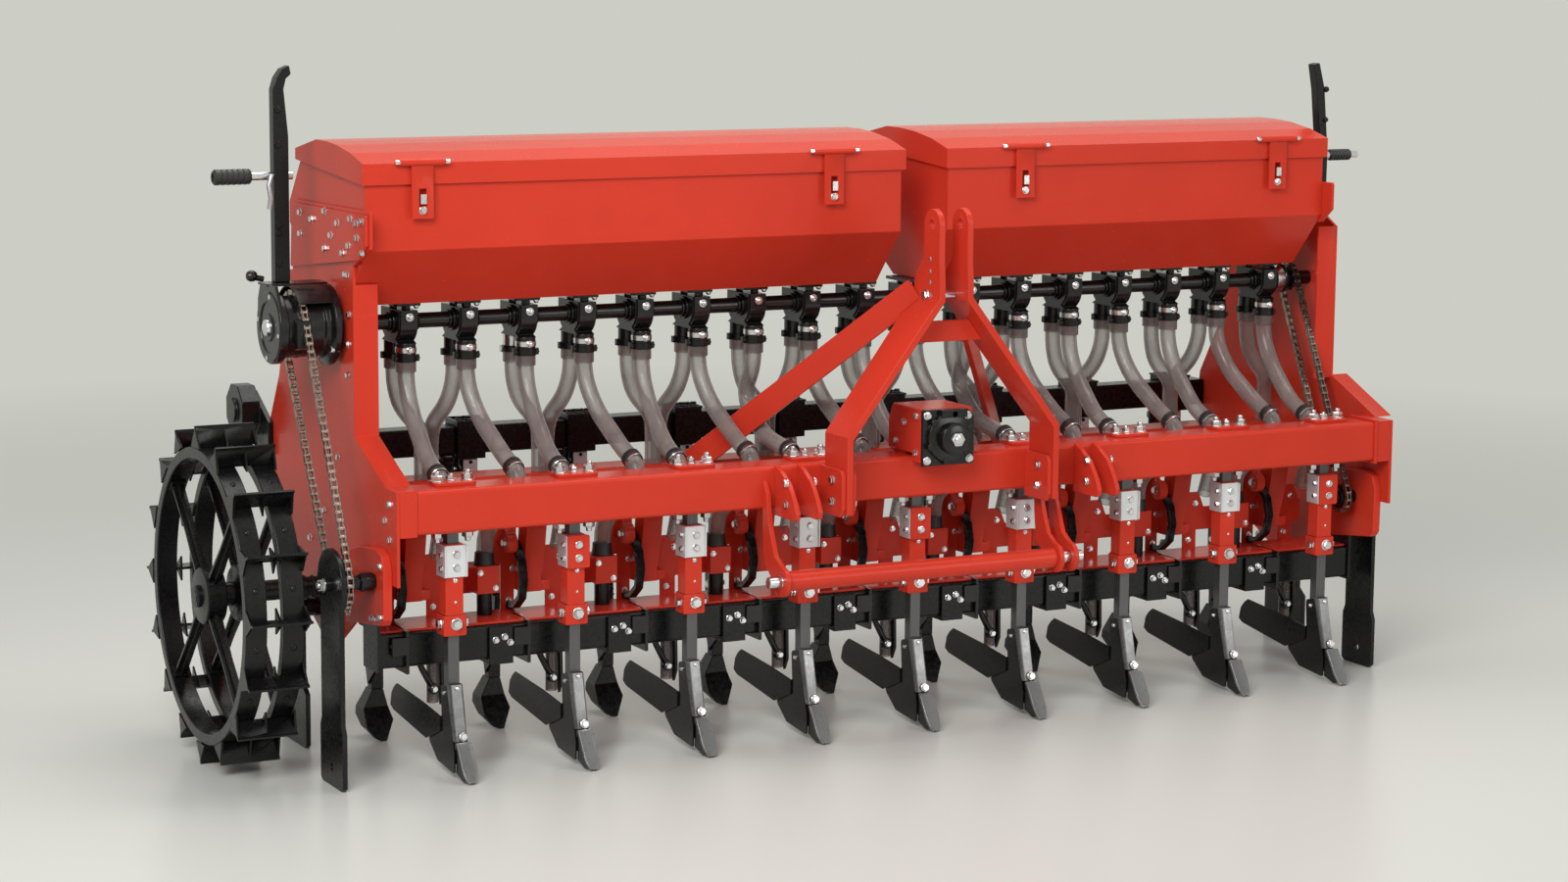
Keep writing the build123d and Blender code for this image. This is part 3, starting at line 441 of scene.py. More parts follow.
# ---- sizes shared by the pieces
ROWS = 9
PITCH = 300
ROW_XS = [(i - (ROWS - 1) / 2) * PITCH for i in range(ROWS)]
GAP_XS = [x + PITCH / 2 for x in ROW_XS[:-1]]     # halfway between two rows
BEAM_BOTTOM, BEAM_TOP = ends("front_beam", "Z")
END = ends("front_beam", "X")[1]                  # half the length of the beams
SIDE = END + 8                 # outer face of the side plates
SHANK_Y = middle("shank_bars", "Y")
HOLDER = 22                    # half the width of a shank holder
CLAMP_PLATE = 8                # thickness of the plates over and under the beam
BOLT_Y = 120
BOLT_X = 37
GEAR_X = middle("gearbox", "X")
GEAR_LEFT, GEAR_RIGHT = ends("gearbox", "X")
RED_CLIPS = (1, 4, 8)          # the holders whose clip is red
METER_COUNT = 2 * ROWS - 1
METERS = [(i - (METER_COUNT - 1) / 2) * PITCH / 2 for i in range(METER_COUNT)]
METER_Y = middle("metering_shaft", "Y")
METER_Z = middle("metering_shaft", "Z")
OUTLETS = (404, 482)           # Y of a metering unit's two outlets
OUTLET_Z = ends("metering_housings", "Z")[0]
COUNTER = (136, 461)           # Y and Z of the left and of the right countershaft
RIGHT_COUNTER = (170, 461)
WHEEL = (middle("wheel_rims", "Y"), middle("wheel_rims", "Z"))

bolts = Shape()                # bright fasteners that stay with the frame

# ---- CAD shapes that keep their form
# The beams, the lower bar and the lids are not listed: they show their CAD mesh as it is.
for material, bevels in (
        (RED, {"beam_collars": 1.5, "side_plate_left": 1.5, "side_plate_right": 1.5,
               "hopper_end_plates": 1.5, "end_pans": 2.5, "headstock_legs": 2.5, "headstock_braces": 2,
               "link_brackets": 2, "clamp_plates": 1.5, "shank_holders": 3, "gearbox": 3,
               "hopper_left": 1.2, "hopper_right": 1.2, "boot_rail": 1.5, "seed_boots": 1.5,
               "lid_latches_left": 1.2, "lid_latches_right": 1.2}),
        (BLACK, {"bar_shoes": 1.5, "rear_shanks": 2, "rear_shares": 2, "rear_bar": 3, "bar_clamps": 2.5,
                 "rear_hub": 3, "wheel_rims": 3, "wheel_lugs": 0.8, "parking_leg_front_left": 2,
                 "parking_leg_front_right": 2, "parking_leg_rear_left": 2, "parking_leg_rear_right": 2,
                 "depth_levers": 2.5, "spring_straps": 2}),
        (GALVANISED, {"holder_clips": 1.5}),
        (BAR, {"shank_bars": 2})):
    for node, bevel in bevels.items():
        rounded(node, material, bevel)

# ---- clamp bolts, holders and clips
CLEAR_OF_GEAR = GEAR_RIGHT - GEAR_X + 16       # bolts nearer to the gearbox's middle are left out
SHANK_BOLT_Z = 352
CLIP_SCREWS = (482, 513)
CLIP = 5.3                             # how far a clip stands off its holder
holder_front = SHANK_Y - HOLDER
clip_front = holder_front - CLIP
studs = Shape()
for x in ROW_XS:
    for dx in (-BOLT_X, BOLT_X):
        if abs(x + dx - GEAR_X) > CLEAR_OF_GEAR:
            bolt(bolts, (x + dx, BOLT_Y, BEAM_TOP + CLAMP_PLATE), "+Z", 24, 12, 9)
            studs.disc("Z", BEAM_TOP, BEAM_TOP + 20, 8, x + dx, BOLT_Y, 12)
        bolt(bolts, (x + dx, BOLT_Y, BEAM_BOTTOM - CLAMP_PLATE), "-Z", 24, 12, 10)
        studs.disc("Z", BEAM_BOTTOM - 25, BEAM_BOTTOM, 8, x + dx, BOLT_Y, 12)
    if abs(x - GEAR_X) > CLEAR_OF_GEAR:
        bolt(bolts, (x, BOLT_Y + 8, BEAM_TOP + CLAMP_PLATE), "+Z", 18, 9, 4)
    bolt(bolts, (x + 3, holder_front - 4, SHANK_BOLT_Z), "-Y", 21, 9)
    bolt(bolts, (x + 2, holder_front, SHANK_BOLT_Z + 100), "-Y", 11, 3, washer=0, domed=True)
    bolt(bolts, (x + 2, holder_front, SHANK_BOLT_Z + 50), "-Y", 6, 1.5, washer=0, domed=True)
    for side, way in OUTWARD.items():
        bolt(bolts, (x + side * (HOLDER + 6), SHANK_Y - 6, SHANK_BOLT_Z), way, 18, 8)
        for z in (480, 513):
            bolt(bolts, (x + side * (HOLDER + CLIP), SHANK_Y - 12, z), way, 12, 4)
    for z in CLIP_SCREWS:
        bolt(bolts, (x + 3, clip_front, z), "-Y", 14, 5)
piece("clamp_studs", studs, ZINC, stands_for=["clamp_bolts"])

clip_trim = Shape()
red_fronts = Shape()
for i, x in enumerate(ROW_XS):
    if i in RED_CLIPS:
        red_fronts.slab("Y", clip_front - 5, clip_front - 0.2,
                        [(x - 25, 458), (x + 27, 458), (x + 30, 462), (x + 30, 531), (x + 27, 535),
                         (x - 25, 535)])
        for z in CLIP_SCREWS:
            bolt(bolts, (x + 3, clip_front - 5, z), "-Y", 14, 5)
    else:
        for low in (-27.3, 25.3):
            clip_trim.box(x + low, x + low + 3, clip_front - 5, clip_front, 461, 533)
piece("clip_lips", clip_trim, GALVANISED, bevel=0.8)
piece("clip_fronts", red_fronts, RED, bevel=1.5)

# ---- knives
KNIFE = 18.3                   # half the width over the cheeks
CHEEK = [(116, 211), (150, 203), (154, 196), (149, 134), (229, 64), (224, 56), (176, 22), (80, 13),
         (72, 16), (72, 60)]
WING = [(150, 132), (252, 146), (391, 161), (406, 150), (419, 134), (426, 104), (409, 94), (231, 63.5),
        (150, 97)]
NOSE = [(71, 86), (63, 84), (22, 30), (12, 9), (30, 4), (71, 15)]
# the channel from the top down: height, Y of its front and half its width
CHANNEL = ((212, 102, 18), (209, 101, 18), (150, 87, 18), (92, 72, 17.5), (86, 71.5, 17))
SPOON = 17.5                   # half the width of the spoon point


def lerp(a, b, t):
    """The value at share t of the way from a to b."""
    return a + (b - a) * t


knives = Shape()
channels = Shape()
spoons = Shape()
for x in ROW_XS:
    # folded channel: a flat front, a facet on each side and two returns, in one thick sheet
    levels = []
    for z, front, half in CHANNEL:
        back = max(front + 20, 114)
        outer = [(-half, back), (-half, front + 9), (-half + 6, front), (half - 6, front),
                 (half, front + 9), (half, back)]
        inner = [(half - 4, back), (half - 4, front + 11), (half - 8, front + 4),
                 (-half + 8, front + 4), (-half + 4, front + 11), (-half + 4, back)]
        levels.append([channels.vert((x + u, y, z)) for u, y in outer + inner])
    channels.skin(levels)
    for near, far in ((-18.2, -14.3), (14.3, 18.2)):
        knives.slab("X", x + near, x + far, CHEEK)
    knives.box(x - 14, x + 14, 76, 112, 34, 60)
    # the wing bends outwards behind the left cheek
    sides = []
    for shift in (0, -4):
        sides.append([knives.vert((x - KNIFE + shift - 16 * max(0, (y - 150) / 276) ** 1.3, y, z))
                      for y, z in WING])
    knives.skin(sides)
    # spoon point: a dished plate with a round tip over a solid nose
    rows = []
    for s in (0, 0.06, 0.2, 0.4, 0.58, 0.72, 0.84, 0.93, 0.98, 1.0):
        half = SPOON if s < 0.6 else SPOON * max(0.0, 1 - ((s - 0.6) / 0.42) ** 2) ** 0.45
        half = max(half, 5)
        row = []
        for u in (-1, -0.88, -0.5, 0, 0.5, 0.88, 1):
            dish = 3.0 * (1 - abs(u) ** 3) * (1 - s * 0.5)
            row.append(spoons.vert((x + u * half, lerp(57, 3, s ** 0.95) + dish, lerp(88, 6, s))))
        rows.append(row)
    for first, second in zip(rows, rows[1:]):
        for k in range(len(first) - 1):
            spoons.faces.append([first[k], first[k + 1], second[k + 1], second[k]])
    knives.slab("X", x - 14, x + 14, NOSE)
    bolt(bolts, (x + 3, 69, 98), (0, -1, 0.22), 16, 6, washer=1.3)
    bolt(bolts, (x + 2, 98, 204), (0, -1, 0.22), 9, 3, washer=1.2, domed=True)
    for side, way in OUTWARD.items():
        bolt(bolts, (x + side * KNIFE, 132, 190), way, 10, 4, washer=1.2, domed=True)
piece("knife_bodies", knives, SHARE, bevel=1.1, stands_for=["knives"])
piece("knife_channels", channels, STEEL, bevel=1.1)
points = piece("spoon_points", spoons, STEEL, smooth=60, stands_for=["share_points"])
thick = points.modifiers.new("thick", "SOLIDIFY")
thick.thickness = 0.006
thick.offset = -1
round_edges(points, 0.0014, 50)

# ---- metering units, shaft and hose clamps


def unit_outline(radius):
    """A metering unit from the side: straight above the shaft, round below, drawn in to its outlets."""
    outline = [(METER_Y - radius, METER_Z + 30), (METER_Y - radius, METER_Z)]
    for k in range(1, 8):
        a = math.radians(180 + 55 * k / 7)
        outline.append((METER_Y + 8 + (radius + 8) * math.cos(a), METER_Z + radius * math.sin(a)))
    outline += [(OUTLETS[0] - 18, OUTLET_Z + 4), (OUTLETS[1] + 18, OUTLET_Z + 4)]
    for k in range(7, 0, -1):
        a = math.radians(-55 * k / 7)
        outline.append((METER_Y + 18 + (radius + 8) * math.cos(a), METER_Z + radius * math.sin(a)))
    return outline + [(METER_Y + 26 + radius, METER_Z), (METER_Y + 26 + radius, METER_Z + 30)]


FLANGE_Z = 1047                # underside of the flange under the hopper
BRIGHT_OUTLET = 2              # the unit whose rear outlet is bright
HOSE_WALL = 20.3               # inner radius of what goes round a hose
units = Shape()
bright_units = Shape()
clamps = Shape()
sleeves = Shape()
for n, x in enumerate(METERS):
    units.slab("Z", FLANGE_Z, FLANGE_Z + 7.5,
               [(x - 32, 394), (x - 27, 388), (x + 29, 388), (x + 34, 394), (x + 34, 500), (x + 29, 506),
                (x - 27, 506), (x - 32, 500)])
    for y in (397, 478):
        units.disc("Z", FLANGE_Z - 15, FLANGE_Z + 3, 9, x - 2, y, 16, 1)
    bolt(units, (x - 2, 397, FLANGE_Z), "-Z", 20, 9, washer=0)
    units.slab("X", x - 21, x + 21, unit_outline(52))
    units.slab("X", x - 24, x - 20, unit_outline(46))
    # collars on the shaft beside the unit
    for low, high, outer in ((-30, -24, 27), (-38, -33, 23), (24, 30, 26), (34, 38, 22.5)):
        units.ring("X", x + low, x + high, 17.5, outer, METER_Y, METER_Z, 32, 1.2)
    bolt(bolts, (x + 1, METER_Y - 52, METER_Z + 14), "-Y", 13, 5, washer=1.5, domed=True)
    bolt(bolts, (x + 22, 392, FLANGE_Z), "-Z", 12, 6, washer=1.3, domed=True)
    for side, y in zip((-1, 1), OUTLETS):
        target = bright_units if n == BRIGHT_OUTLET and side > 0 else units
        target.ring("Z", OUTLET_Z - 30, OUTLET_Z + 6, HOSE_WALL, 23.5, x, y, 28, 1)
        clamps.ring("Z", OUTLET_Z - 38, OUTLET_Z - 22, 23.5, 26, x, y, 28, 0.8)
        for dx in (-27, 27):
            target.box(x + dx - 5, x + dx + 5, y - 6, y + 6, OUTLET_Z - 38, OUTLET_Z - 22)
            bolt(target, (x + dx, y - 6, OUTLET_Z - 30), "-Y", 9, 4, washer=0)
        sleeves.ring("Z", OUTLET_Z - 62, OUTLET_Z - 36, HOSE_WALL, 24, x, y, 28, 0.5)
        if side < 0:
            bright_units.ring("Z", OUTLET_Z - 17, OUTLET_Z - 4, 23.2, 25.2, x, y, 28, 0.8)
            bolt(bolts, (x, y - 25, OUTLET_Z - 10), "-Y", 13, 5, washer=1.3, domed=True)
piece("metering_units", units, DARK, bevel=1.2, stands_for=["metering_housings"])
piece("outlet_bands", bright_units, ZINC)
piece("hose_clamp_bands", clamps, BLACK, stands_for=["hose_cuffs"])
piece("hose_end_sleeves", sleeves, SLEEVE)

# bright cup on the right end of the shaft
CUP = METERS[-1] + 34
cup = Shape()
cup.spin([(18.3, CUP + 0.5), (30, CUP + 0.5), (36.6, CUP + 3), (36.6, CUP + 24), (35, CUP + 26),
          (18.3, CUP + 26)], "X", METER_Y, METER_Z, 40, closed=True)
piece("shaft_cup", cup, ZINC)
cup_seat = Shape()
cup_seat.ring("X", CUP + 26, CUP + 36, 18.3, 38, METER_Y, METER_Z, 40, 2)
cup_seat.ring("X", CUP - 5, CUP + 0.5, 18.3, 31, METER_Y, METER_Z, 40, 1.5)
piece("cup_seat", cup_seat, DARK)

# black and bright rings where the hoses pass the beam
rings = Shape()
bright_rings = Shape()
for n, x in enumerate(METERS):
    for shape, low, high, r in ((rings, -7, 9, 23.5), (bright_rings, 9, 16, 22.6)):
        local = Shape()
        local.ring("Z", low, high, 20.2, r, 0, 0, 28, 1)
        way = (8, -72, -33) if n % 2 else (0, -87, -28)
        shape.join(local, aim((x + 37, 213, 686) if n % 2 else (x, 211, 681), way))
piece("hose_rings", rings, RUBBER)
piece("hose_ring_bands", bright_rings, ZINC)

# ---- drive: drum, chains, countershafts
DRUM = ends("drive_drum", "X")[0]                 # outer face of the left drum
# radius and distance from the outer face
DRUM_PROFILE = [(0, 0), (30, 0), (34, 4), (58, 5), (60, 1), (80, 1), (84, 4), (84, 22), (80, 25),
                (71, 26), (71, 60), (72.5, 61), (72.5, 66), (71, 67), (71, 112), (76, 116), (76, 126),
                (88, 130), (93, 134), (93, 146), (90, 148), (60, 148), (60, 163), (0, 163)]
# outlines round the metering shaft, as Y and Z from its middle
GUARD = [(62, 96), (-40, 98), (-62, 64), (-80, 20), (-76, -40), (-50, -72), (0, -84), (60, -62), (84, 0),
         (80, 60)]
GUARD_LUG = [(-74, 26), (-88, 20), (-90, -40), (-72, -46)]


def round_shaft(outline):
    """An outline moved to the middle of the metering shaft."""
    return [(METER_Y + y, METER_Z + z) for y, z in outline]


drum = Shape()
drum.spin([(r, DRUM + along) for r, along in DRUM_PROFILE], "X", METER_Y, METER_Z, 56)
# hood over the chain's top turn
hood = []
for k in range(15):
    a = math.radians(lerp(-12, 141, k / 14))
    hood.append((METER_Y + 95 * math.cos(a), METER_Z + 95 * math.sin(a)))
hood += [(METER_Y + (y - METER_Y) * 92 / 95, METER_Z + (z - METER_Z) * 92 / 95)
         for y, z in reversed(hood)]
drum.slab("X", -SIDE - 114, -SIDE - 15, hood)
# guard plate round the outer cover, and the small parts on it
drum.slab("X", DRUM + 4, DRUM + 12, round_shaft(GUARD))
drum.box(DRUM + 2, DRUM + 148, METER_Y + 8, METER_Y + 72, METER_Z + 92, METER_Z + 98)
drum.box(DRUM + 60, DRUM + 100, METER_Y - 36, METER_Y - 20, METER_Z + 62, METER_Z + 92)
drum.slab("X", DRUM + 40, DRUM + 74, round_shaft(GUARD_LUG))
drum.tube([(DRUM + 8, METER_Y + 50, METER_Z + 106), (DRUM - 20, METER_Y + 50, METER_Z + 112)], 7, 12)
drum.spin([(0, DRUM - 34), (9, DRUM - 31), (13, DRUM - 24), (13, DRUM - 16), (9, DRUM - 9),
           (0, DRUM - 6)], "X", METER_Y + 50, METER_Z + 114, 20)
# right drum
drum.spin([(0, SIDE), (76, SIDE), (78, SIDE + 2), (78, SIDE + 14), (66, SIDE + 18), (66, SIDE + 32),
           (62, SIDE + 34), (0, SIDE + 34)], "X", METER_Y + 6, METER_Z + 12, 48)
drum.box(SIDE, SIDE + 78, METER_Y + 30, METER_Y + 70, METER_Z + 60, METER_Z + 98)
piece("drive_units", drum, DARK, bevel=1.2, stands_for=["drive_drum"])
boss = Shape()
boss.spin([(0, DRUM - 12), (10, DRUM - 11), (18, DRUM - 7), (20, DRUM - 3), (20, DRUM + 2),
           (0, DRUM + 2)], "X", METER_Y, METER_Z, 32)
piece("drum_boss", boss, ZINC)
for k in range(4):
    a = math.radians(35 + 90 * k)
    bolt(bolts, (DRUM + 132, METER_Y + 84 * math.cos(a), METER_Z + 84 * math.sin(a)), "-X", 13, 5)
    a = math.radians(10 + 90 * k)
    bolt(bolts, (DRUM + 3, METER_Y + 72 * math.cos(a), METER_Z + 72 * math.sin(a)), "-X", 11, 4,
         washer=0)


def tangent_loop(top, bottom):
    """The points of a closed loop round two circles given as (y, z, radius)."""
    (y1, z1, r1), (y2, z2, r2) = top, bottom
    gap = math.hypot(y2 - y1, z2 - z1)
    base = math.atan2(z2 - z1, y2 - y1)
    lean = math.acos((r1 - r2) / gap)
    runs = []
    steps = 60
    for y, z, r, start, end in ((y1, z1, r1, base + lean, base + 2 * math.pi - lean),
                                (y2, z2, r2, base - lean, base + lean)):
        for k in range(steps + 1):
            a = lerp(start, end, k / steps)
            runs.append((y + r * math.cos(a), z + r * math.sin(a)))
    return runs + [runs[0]]


def chain(shape, across, top, bottom, pitch=19, tall=11.5):
    """A roller chain round two sprockets: rollers, inner plates and outer plates."""
    plate = 1.7
    x0, x1 = across - 8, across + 8
    loop = tangent_loop(top, bottom)
    lengths = [0.0]
    for a, b in zip(loop, loop[1:]):
        lengths.append(lengths[-1] + math.dist(a, b))
    count = int(lengths[-1] / pitch / 2) * 2
    step = lengths[-1] / count

    def at(distance):
        """The point at a distance along the loop."""
        distance %= lengths[-1]
        k = next(n for n in range(1, len(lengths)) if lengths[n] >= distance) - 1
        t = (distance - lengths[k]) / max(1e-9, lengths[k + 1] - lengths[k])
        return Vector((0, lerp(loop[k][0], loop[k + 1][0], t), lerp(loop[k][1], loop[k + 1][1], t)))

    joints = [at(n * step) for n in range(count)]
    for n, here in enumerate(joints):
        shape.disc("X", x0 + 2 * plate, x1 - 2 * plate, tall * 0.42, here.y, here.z, 10, 0.3)
        shape.disc("X", x0, x1, tall * 0.22, here.y, here.z, 8, 0.3)
        after = joints[(n + 1) % count]
        way = (after - here).normalized()
        turn = math.atan2(way.z, way.y)
        outline = []
        for centre, start in ((here, turn + math.pi / 2), (after, turn - math.pi / 2)):
            for k in range(6):
                a = start + math.pi * k / 5
                outline.append((centre.y + tall / 2 * math.cos(a), centre.z + tall / 2 * math.sin(a)))
        inset = 2.6 if n % 2 else 0.6
        for low in (x0 + inset, x1 - inset - plate):
            shape.slab("X", low, low + plate, outline)


LEFT_CHAIN = -SIDE - 100       # X of each chain's middle
RIGHT_CHAIN = END - 61
LEFT_SPROCKET = 60             # radii of the chains round their sprockets
RIGHT_SPROCKET = 36
links = Shape()
chain(links, LEFT_CHAIN, (METER_Y, METER_Z, 79), (*COUNTER, LEFT_SPROCKET))
chain(links, RIGHT_CHAIN, (METER_Y, METER_Z, RIGHT_SPROCKET), (*RIGHT_COUNTER, RIGHT_SPROCKET))
piece("chain_links", links, CHAIN, stands_for=["drive_chains"])


def sprocket(shape, across, y, z, radius, teeth):
    """A toothed wheel."""
    outline = []
    for k in range(teeth * 4):
        r = (radius - 7, radius - 2, radius - 2, radius - 7)[k % 4]
        a = 2 * math.pi * (k - 0.5) / (teeth * 4)
        outline.append((y + r * math.cos(a), z + r * math.sin(a)))
    shape.slab("X", across - 3, across + 3, outline)


COUNTER_END = -SIDE - 141
shafts = Shape()
shafts.disc("X", COUNTER_END, -SIDE, 15, *COUNTER, 28, 1)
sprocket(shafts, LEFT_CHAIN, *COUNTER, LEFT_SPROCKET, 20)
shafts.disc("X", LEFT_CHAIN - 10, LEFT_CHAIN + 14, 34, *COUNTER, 32, 3)
shafts.disc("X", -SIDE - 60, -SIDE - 24, 21, *COUNTER, 28, 3)
shafts.disc("X", RIGHT_CHAIN - 16, END, 15, *RIGHT_COUNTER, 28, 1)
sprocket(shafts, RIGHT_CHAIN, *RIGHT_COUNTER, RIGHT_SPROCKET, 12)
shafts.disc("X", RIGHT_CHAIN - 9, RIGHT_CHAIN + 9, 22, *RIGHT_COUNTER, 28, 2)
sprocket(shafts, RIGHT_CHAIN, METER_Y, METER_Z, RIGHT_SPROCKET, 12)
piece("counter_shafts", shafts, DARK, bevel=0.6, stands_for=["countershaft"])

# ---- gearbox front
GEAR_Z = 722                   # height of the input shaft
GEAR_FOOT = 655
cover = Shape()
cover.slab("Y", -10, 0, [(GEAR_LEFT, GEAR_FOOT), (GEAR_RIGHT - 4, GEAR_FOOT),
                         (GEAR_RIGHT, GEAR_FOOT + 4), (GEAR_RIGHT, 770), (GEAR_RIGHT - 18, 788),
                         (GEAR_LEFT + 4, 790), (GEAR_LEFT, 786)])
cover.spin([(0, -28), (30, -28), (34, -24), (50, -22), (58, -20), (60, -16), (60, -10), (64, -9)],
           "Y", GEAR_X, GEAR_Z, 48)
cover.spin([(11.5, -52), (30, -52), (37, -48), (38, -44), (38, -30), (34, -24)], "Y", GEAR_X, GEAR_Z, 40)
for k in range(6):
    a = math.radians(60 * k + 20)
    cover.disc("Y", -24, -8, 9, GEAR_X + 57 * math.cos(a), GEAR_Z + 57 * math.sin(a), 14, 1)
cover.box(GEAR_X - 26, GEAR_X + 44, -24, -8, 770, 789)
piece("gearbox_cover", cover, DARK, bevel=1.0, stands_for=["pto_cover"])
stub = Shape()
stub.spin([(0, -66), (8, -66), (10.5, -63.5), (10.5, 0), (0, 0)], "Y", GEAR_X, GEAR_Z, 24)
stub.spin([(17, -60), (17.5, -58), (17.5, -52), (15, -50)], "Y", GEAR_X, GEAR_Z, 6)
piece("shaft_stub", stub, ZINC, bevel=0.6, stands_for=["pto_shaft"])
for dx, z in ((-58, 668), (58, 668), (-58, 776), (52, 772)):
    bolt(bolts, (GEAR_X + dx, -10, z), "-Y", 15, 6)
for y, z in ((22, 684), (22, 772), (80, 752), (120, 700)):
    bolt(bolts, (GEAR_LEFT, y, z), "-X", 13, 5)
for dx in (-40, 62):
    bolt(bolts, (GEAR_X + dx, 44, GEAR_FOOT), "-Y", 13, 5, washer=0)

# ---- hitch and headstock
LINK_PIN = (-45, 415)          # Y and Z of the lower link pins
LEG_FACE = 46                  # outer faces of the headstock legs at their ears
SPACER = (0, 1062)             # Y and Z of the pin between the legs
UPPER_HOLE = (-20, 1230)       # Y and Z of the upper link's hole
for x, way in ((-299, "-X"), (299, "+X"), (-260.7, "+X"), (260.7, "-X"), (-421, "-X"), (-350, "+X"),
               (401, "-X"), (464, "+X")):
    for z in (590, 640):
        bolt(bolts, (x, -12, z), way, 17, 6)
pins = Shape()
pins.spin([(0, -483), (12, -483), (14, -481), (14, -451), (16, -451), (16, -380), (0, -380)],
          "X", *LINK_PIN, 32)
pins.spin([(0, 240), (16, 240), (16, 343), (14, 343), (14, 367), (12, 369), (0, 369)],
          "X", *LINK_PIN, 32)
pins.disc("X", -30, 30, 9, *SPACER, 24, 0.8)
piece("hitch_pin_set", pins, ZINC, stands_for=["hitch_pins"])
for side, way in OUTWARD.items():
    bolt(bolts, (side * LEG_FACE, *SPACER), way, 22, 8)
hole_rims = Shape()
for side, way in OUTWARD.items():
    for z in (1120, 1150, 1095):
        bolt(bolts, (side * LEG_FACE, -14, z), way, 9, 2, washer=1.3, domed=True)
for low, high in ((-LEG_FACE - 0.6, -30), (29.4, LEG_FACE + 0.6)):
    hole_rims.ring("X", low, high, 13, 19, *UPPER_HOLE, 32, 0.6)
piece("link_hole_rims", hole_rims, RED)

# ---- end plates and side plates
# each bolt as Y and Z on its plate
LEFT_END_BOLTS = ((226, 1262), (226, 1190), (262, 1254), (300, 1262), (258, 1222), (312, 1200),
                  (352, 1180), (384, 1246), (430, 1214), (470, 1266), (470, 1180), (560, 1240),
                  (640, 1200), (640, 1250))
SIDE_BOLTS = ((345, 1130), (360, 1130), (338, 1040), (350, 970), (350, 900), (90, 640), (90, 560),
              (118, 600), (118, 500), (800, 1080), (790, 900), (900, 650), (600, 330), (620, 480),
              (420, 700), (520, 560))
HANGER_BOLTS = ((96, 384), (120, 378), (150, 374), (96, 500), (300, 360))
RIGHT_END_BOLTS = ((222, 1262), (250, 1225), (300, 1190), (360, 1240), (450, 1200))
RIGHT_END_X = ends("hopper_right", "X")[1]
for y, z in LEFT_END_BOLTS:
    bolt(bolts, (-SIDE - 8, y, z), "-X", 13, 6)
for y, z in SIDE_BOLTS:
    for side, way in OUTWARD.items():
        bolt(bolts, (side * SIDE, y, z), way, 13, 5)
for y, z in HANGER_BOLTS:
    bolt(bolts, (-SIDE - 22, y, z), "-X", 13, 5)
for y, z in RIGHT_END_BOLTS:
    bolt(bolts, (RIGHT_END_X + 8, y, z), "+X", 13, 5)

# ---- wheel
RIM = 50                       # width of one rim
RIM_SEAT = 343                 # radius where the rim's bolts stand
wheel_low, wheel_high = working("wheel_rims")
rim_middles = (wheel_low.x + RIM / 2, wheel_high.x - RIM / 2)
spokes = Shape()
for mid in rim_middles:
    for k in range(4):
        a = math.radians(45 + 90 * k)
        along = Vector((0, math.cos(a), math.sin(a)))
        across = Vector((0, -math.sin(a), math.cos(a)))
        centre = Vector((mid, *WHEEL))
        for wide, deep in ((11, 4), (3.5, 13)):
            levels = []
            for distance, grow in ((52, 1.25), (180, 1.0), (322, 1.15)):
                here = centre + along * distance
                corners = ((-deep, -wide), (deep, -wide), (deep, wide), (-deep, wide))
                levels.append([spokes.vert(here + Vector((cx * grow, 0, 0)) + across * cy * grow)
                               for cx, cy in corners])
            spokes.skin(levels)
        foot = centre + along * 314
        local = Shape()
        local.box(-18, 18, -14, 14, -4, 4)
        turn = Matrix(((1, 0, 0), (0, across.y, across.z), (0, along.y, along.z)))
        spokes.join(local, Matrix.Translation(foot) @ turn.transposed().to_4x4())
piece("spoke_set", spokes, BLACK, "ground_wheel", bevel=1.2, stands_for=["wheel_spokes"])
# the hub's profile as radius and distance from its outer and from its inner end
OUTER_HUB = [(15.2, -4), (22, -4), (26, 0), (26, 6), (44, 7), (62, 9), (65, 12), (65, 52), (62, 55),
             (34, 56), (28, 60)]
INNER_HUB = [(28, -56), (34, -52), (62, -50), (65, -47), (65, -10), (62, -6), (30, -4), (24, 0)]
tube_end = -SIDE - 39
hub = Shape()
hub.spin([(r, wheel_low.x - 5 + along) for r, along in OUTER_HUB]
         + [(r, wheel_high.x + along) for r, along in INNER_HUB] + [(24, tube_end), (15.2, tube_end)],
         "X", *WHEEL, 44, closed=True)
hub.ring("X", -SIDE - 86, -SIDE - 72, 23, 29, *WHEEL, 32, 2)
hub.ring("X", -SIDE - 60, -SIDE - 52, 23, 28, *WHEEL, 32, 2)
piece("hub_body", hub, BLACK, "ground_wheel", stands_for=["wheel_hub"])
wheel_bolts = Shape()
for k in range(16):
    a = math.radians(22.5 * k + 11)
    way = (0, math.cos(a), math.sin(a))
    for mid in rim_middles:
        bolt(wheel_bolts, (mid, WHEEL[0] + RIM_SEAT * way[1], WHEEL[1] + RIM_SEAT * way[2]), way, 11, 3,
             domed=True)
piece("wheel_bolts", wheel_bolts, BLACK, "ground_wheel")
# nuts on the end of the left countershaft and on the front right parking leg's pivot
bolt(bolts, (COUNTER_END, *COUNTER), "-X", 24, 10, 5)
bolt(bolts, (SIDE + 51, 215, 440), "+X", 24, 10, 5)

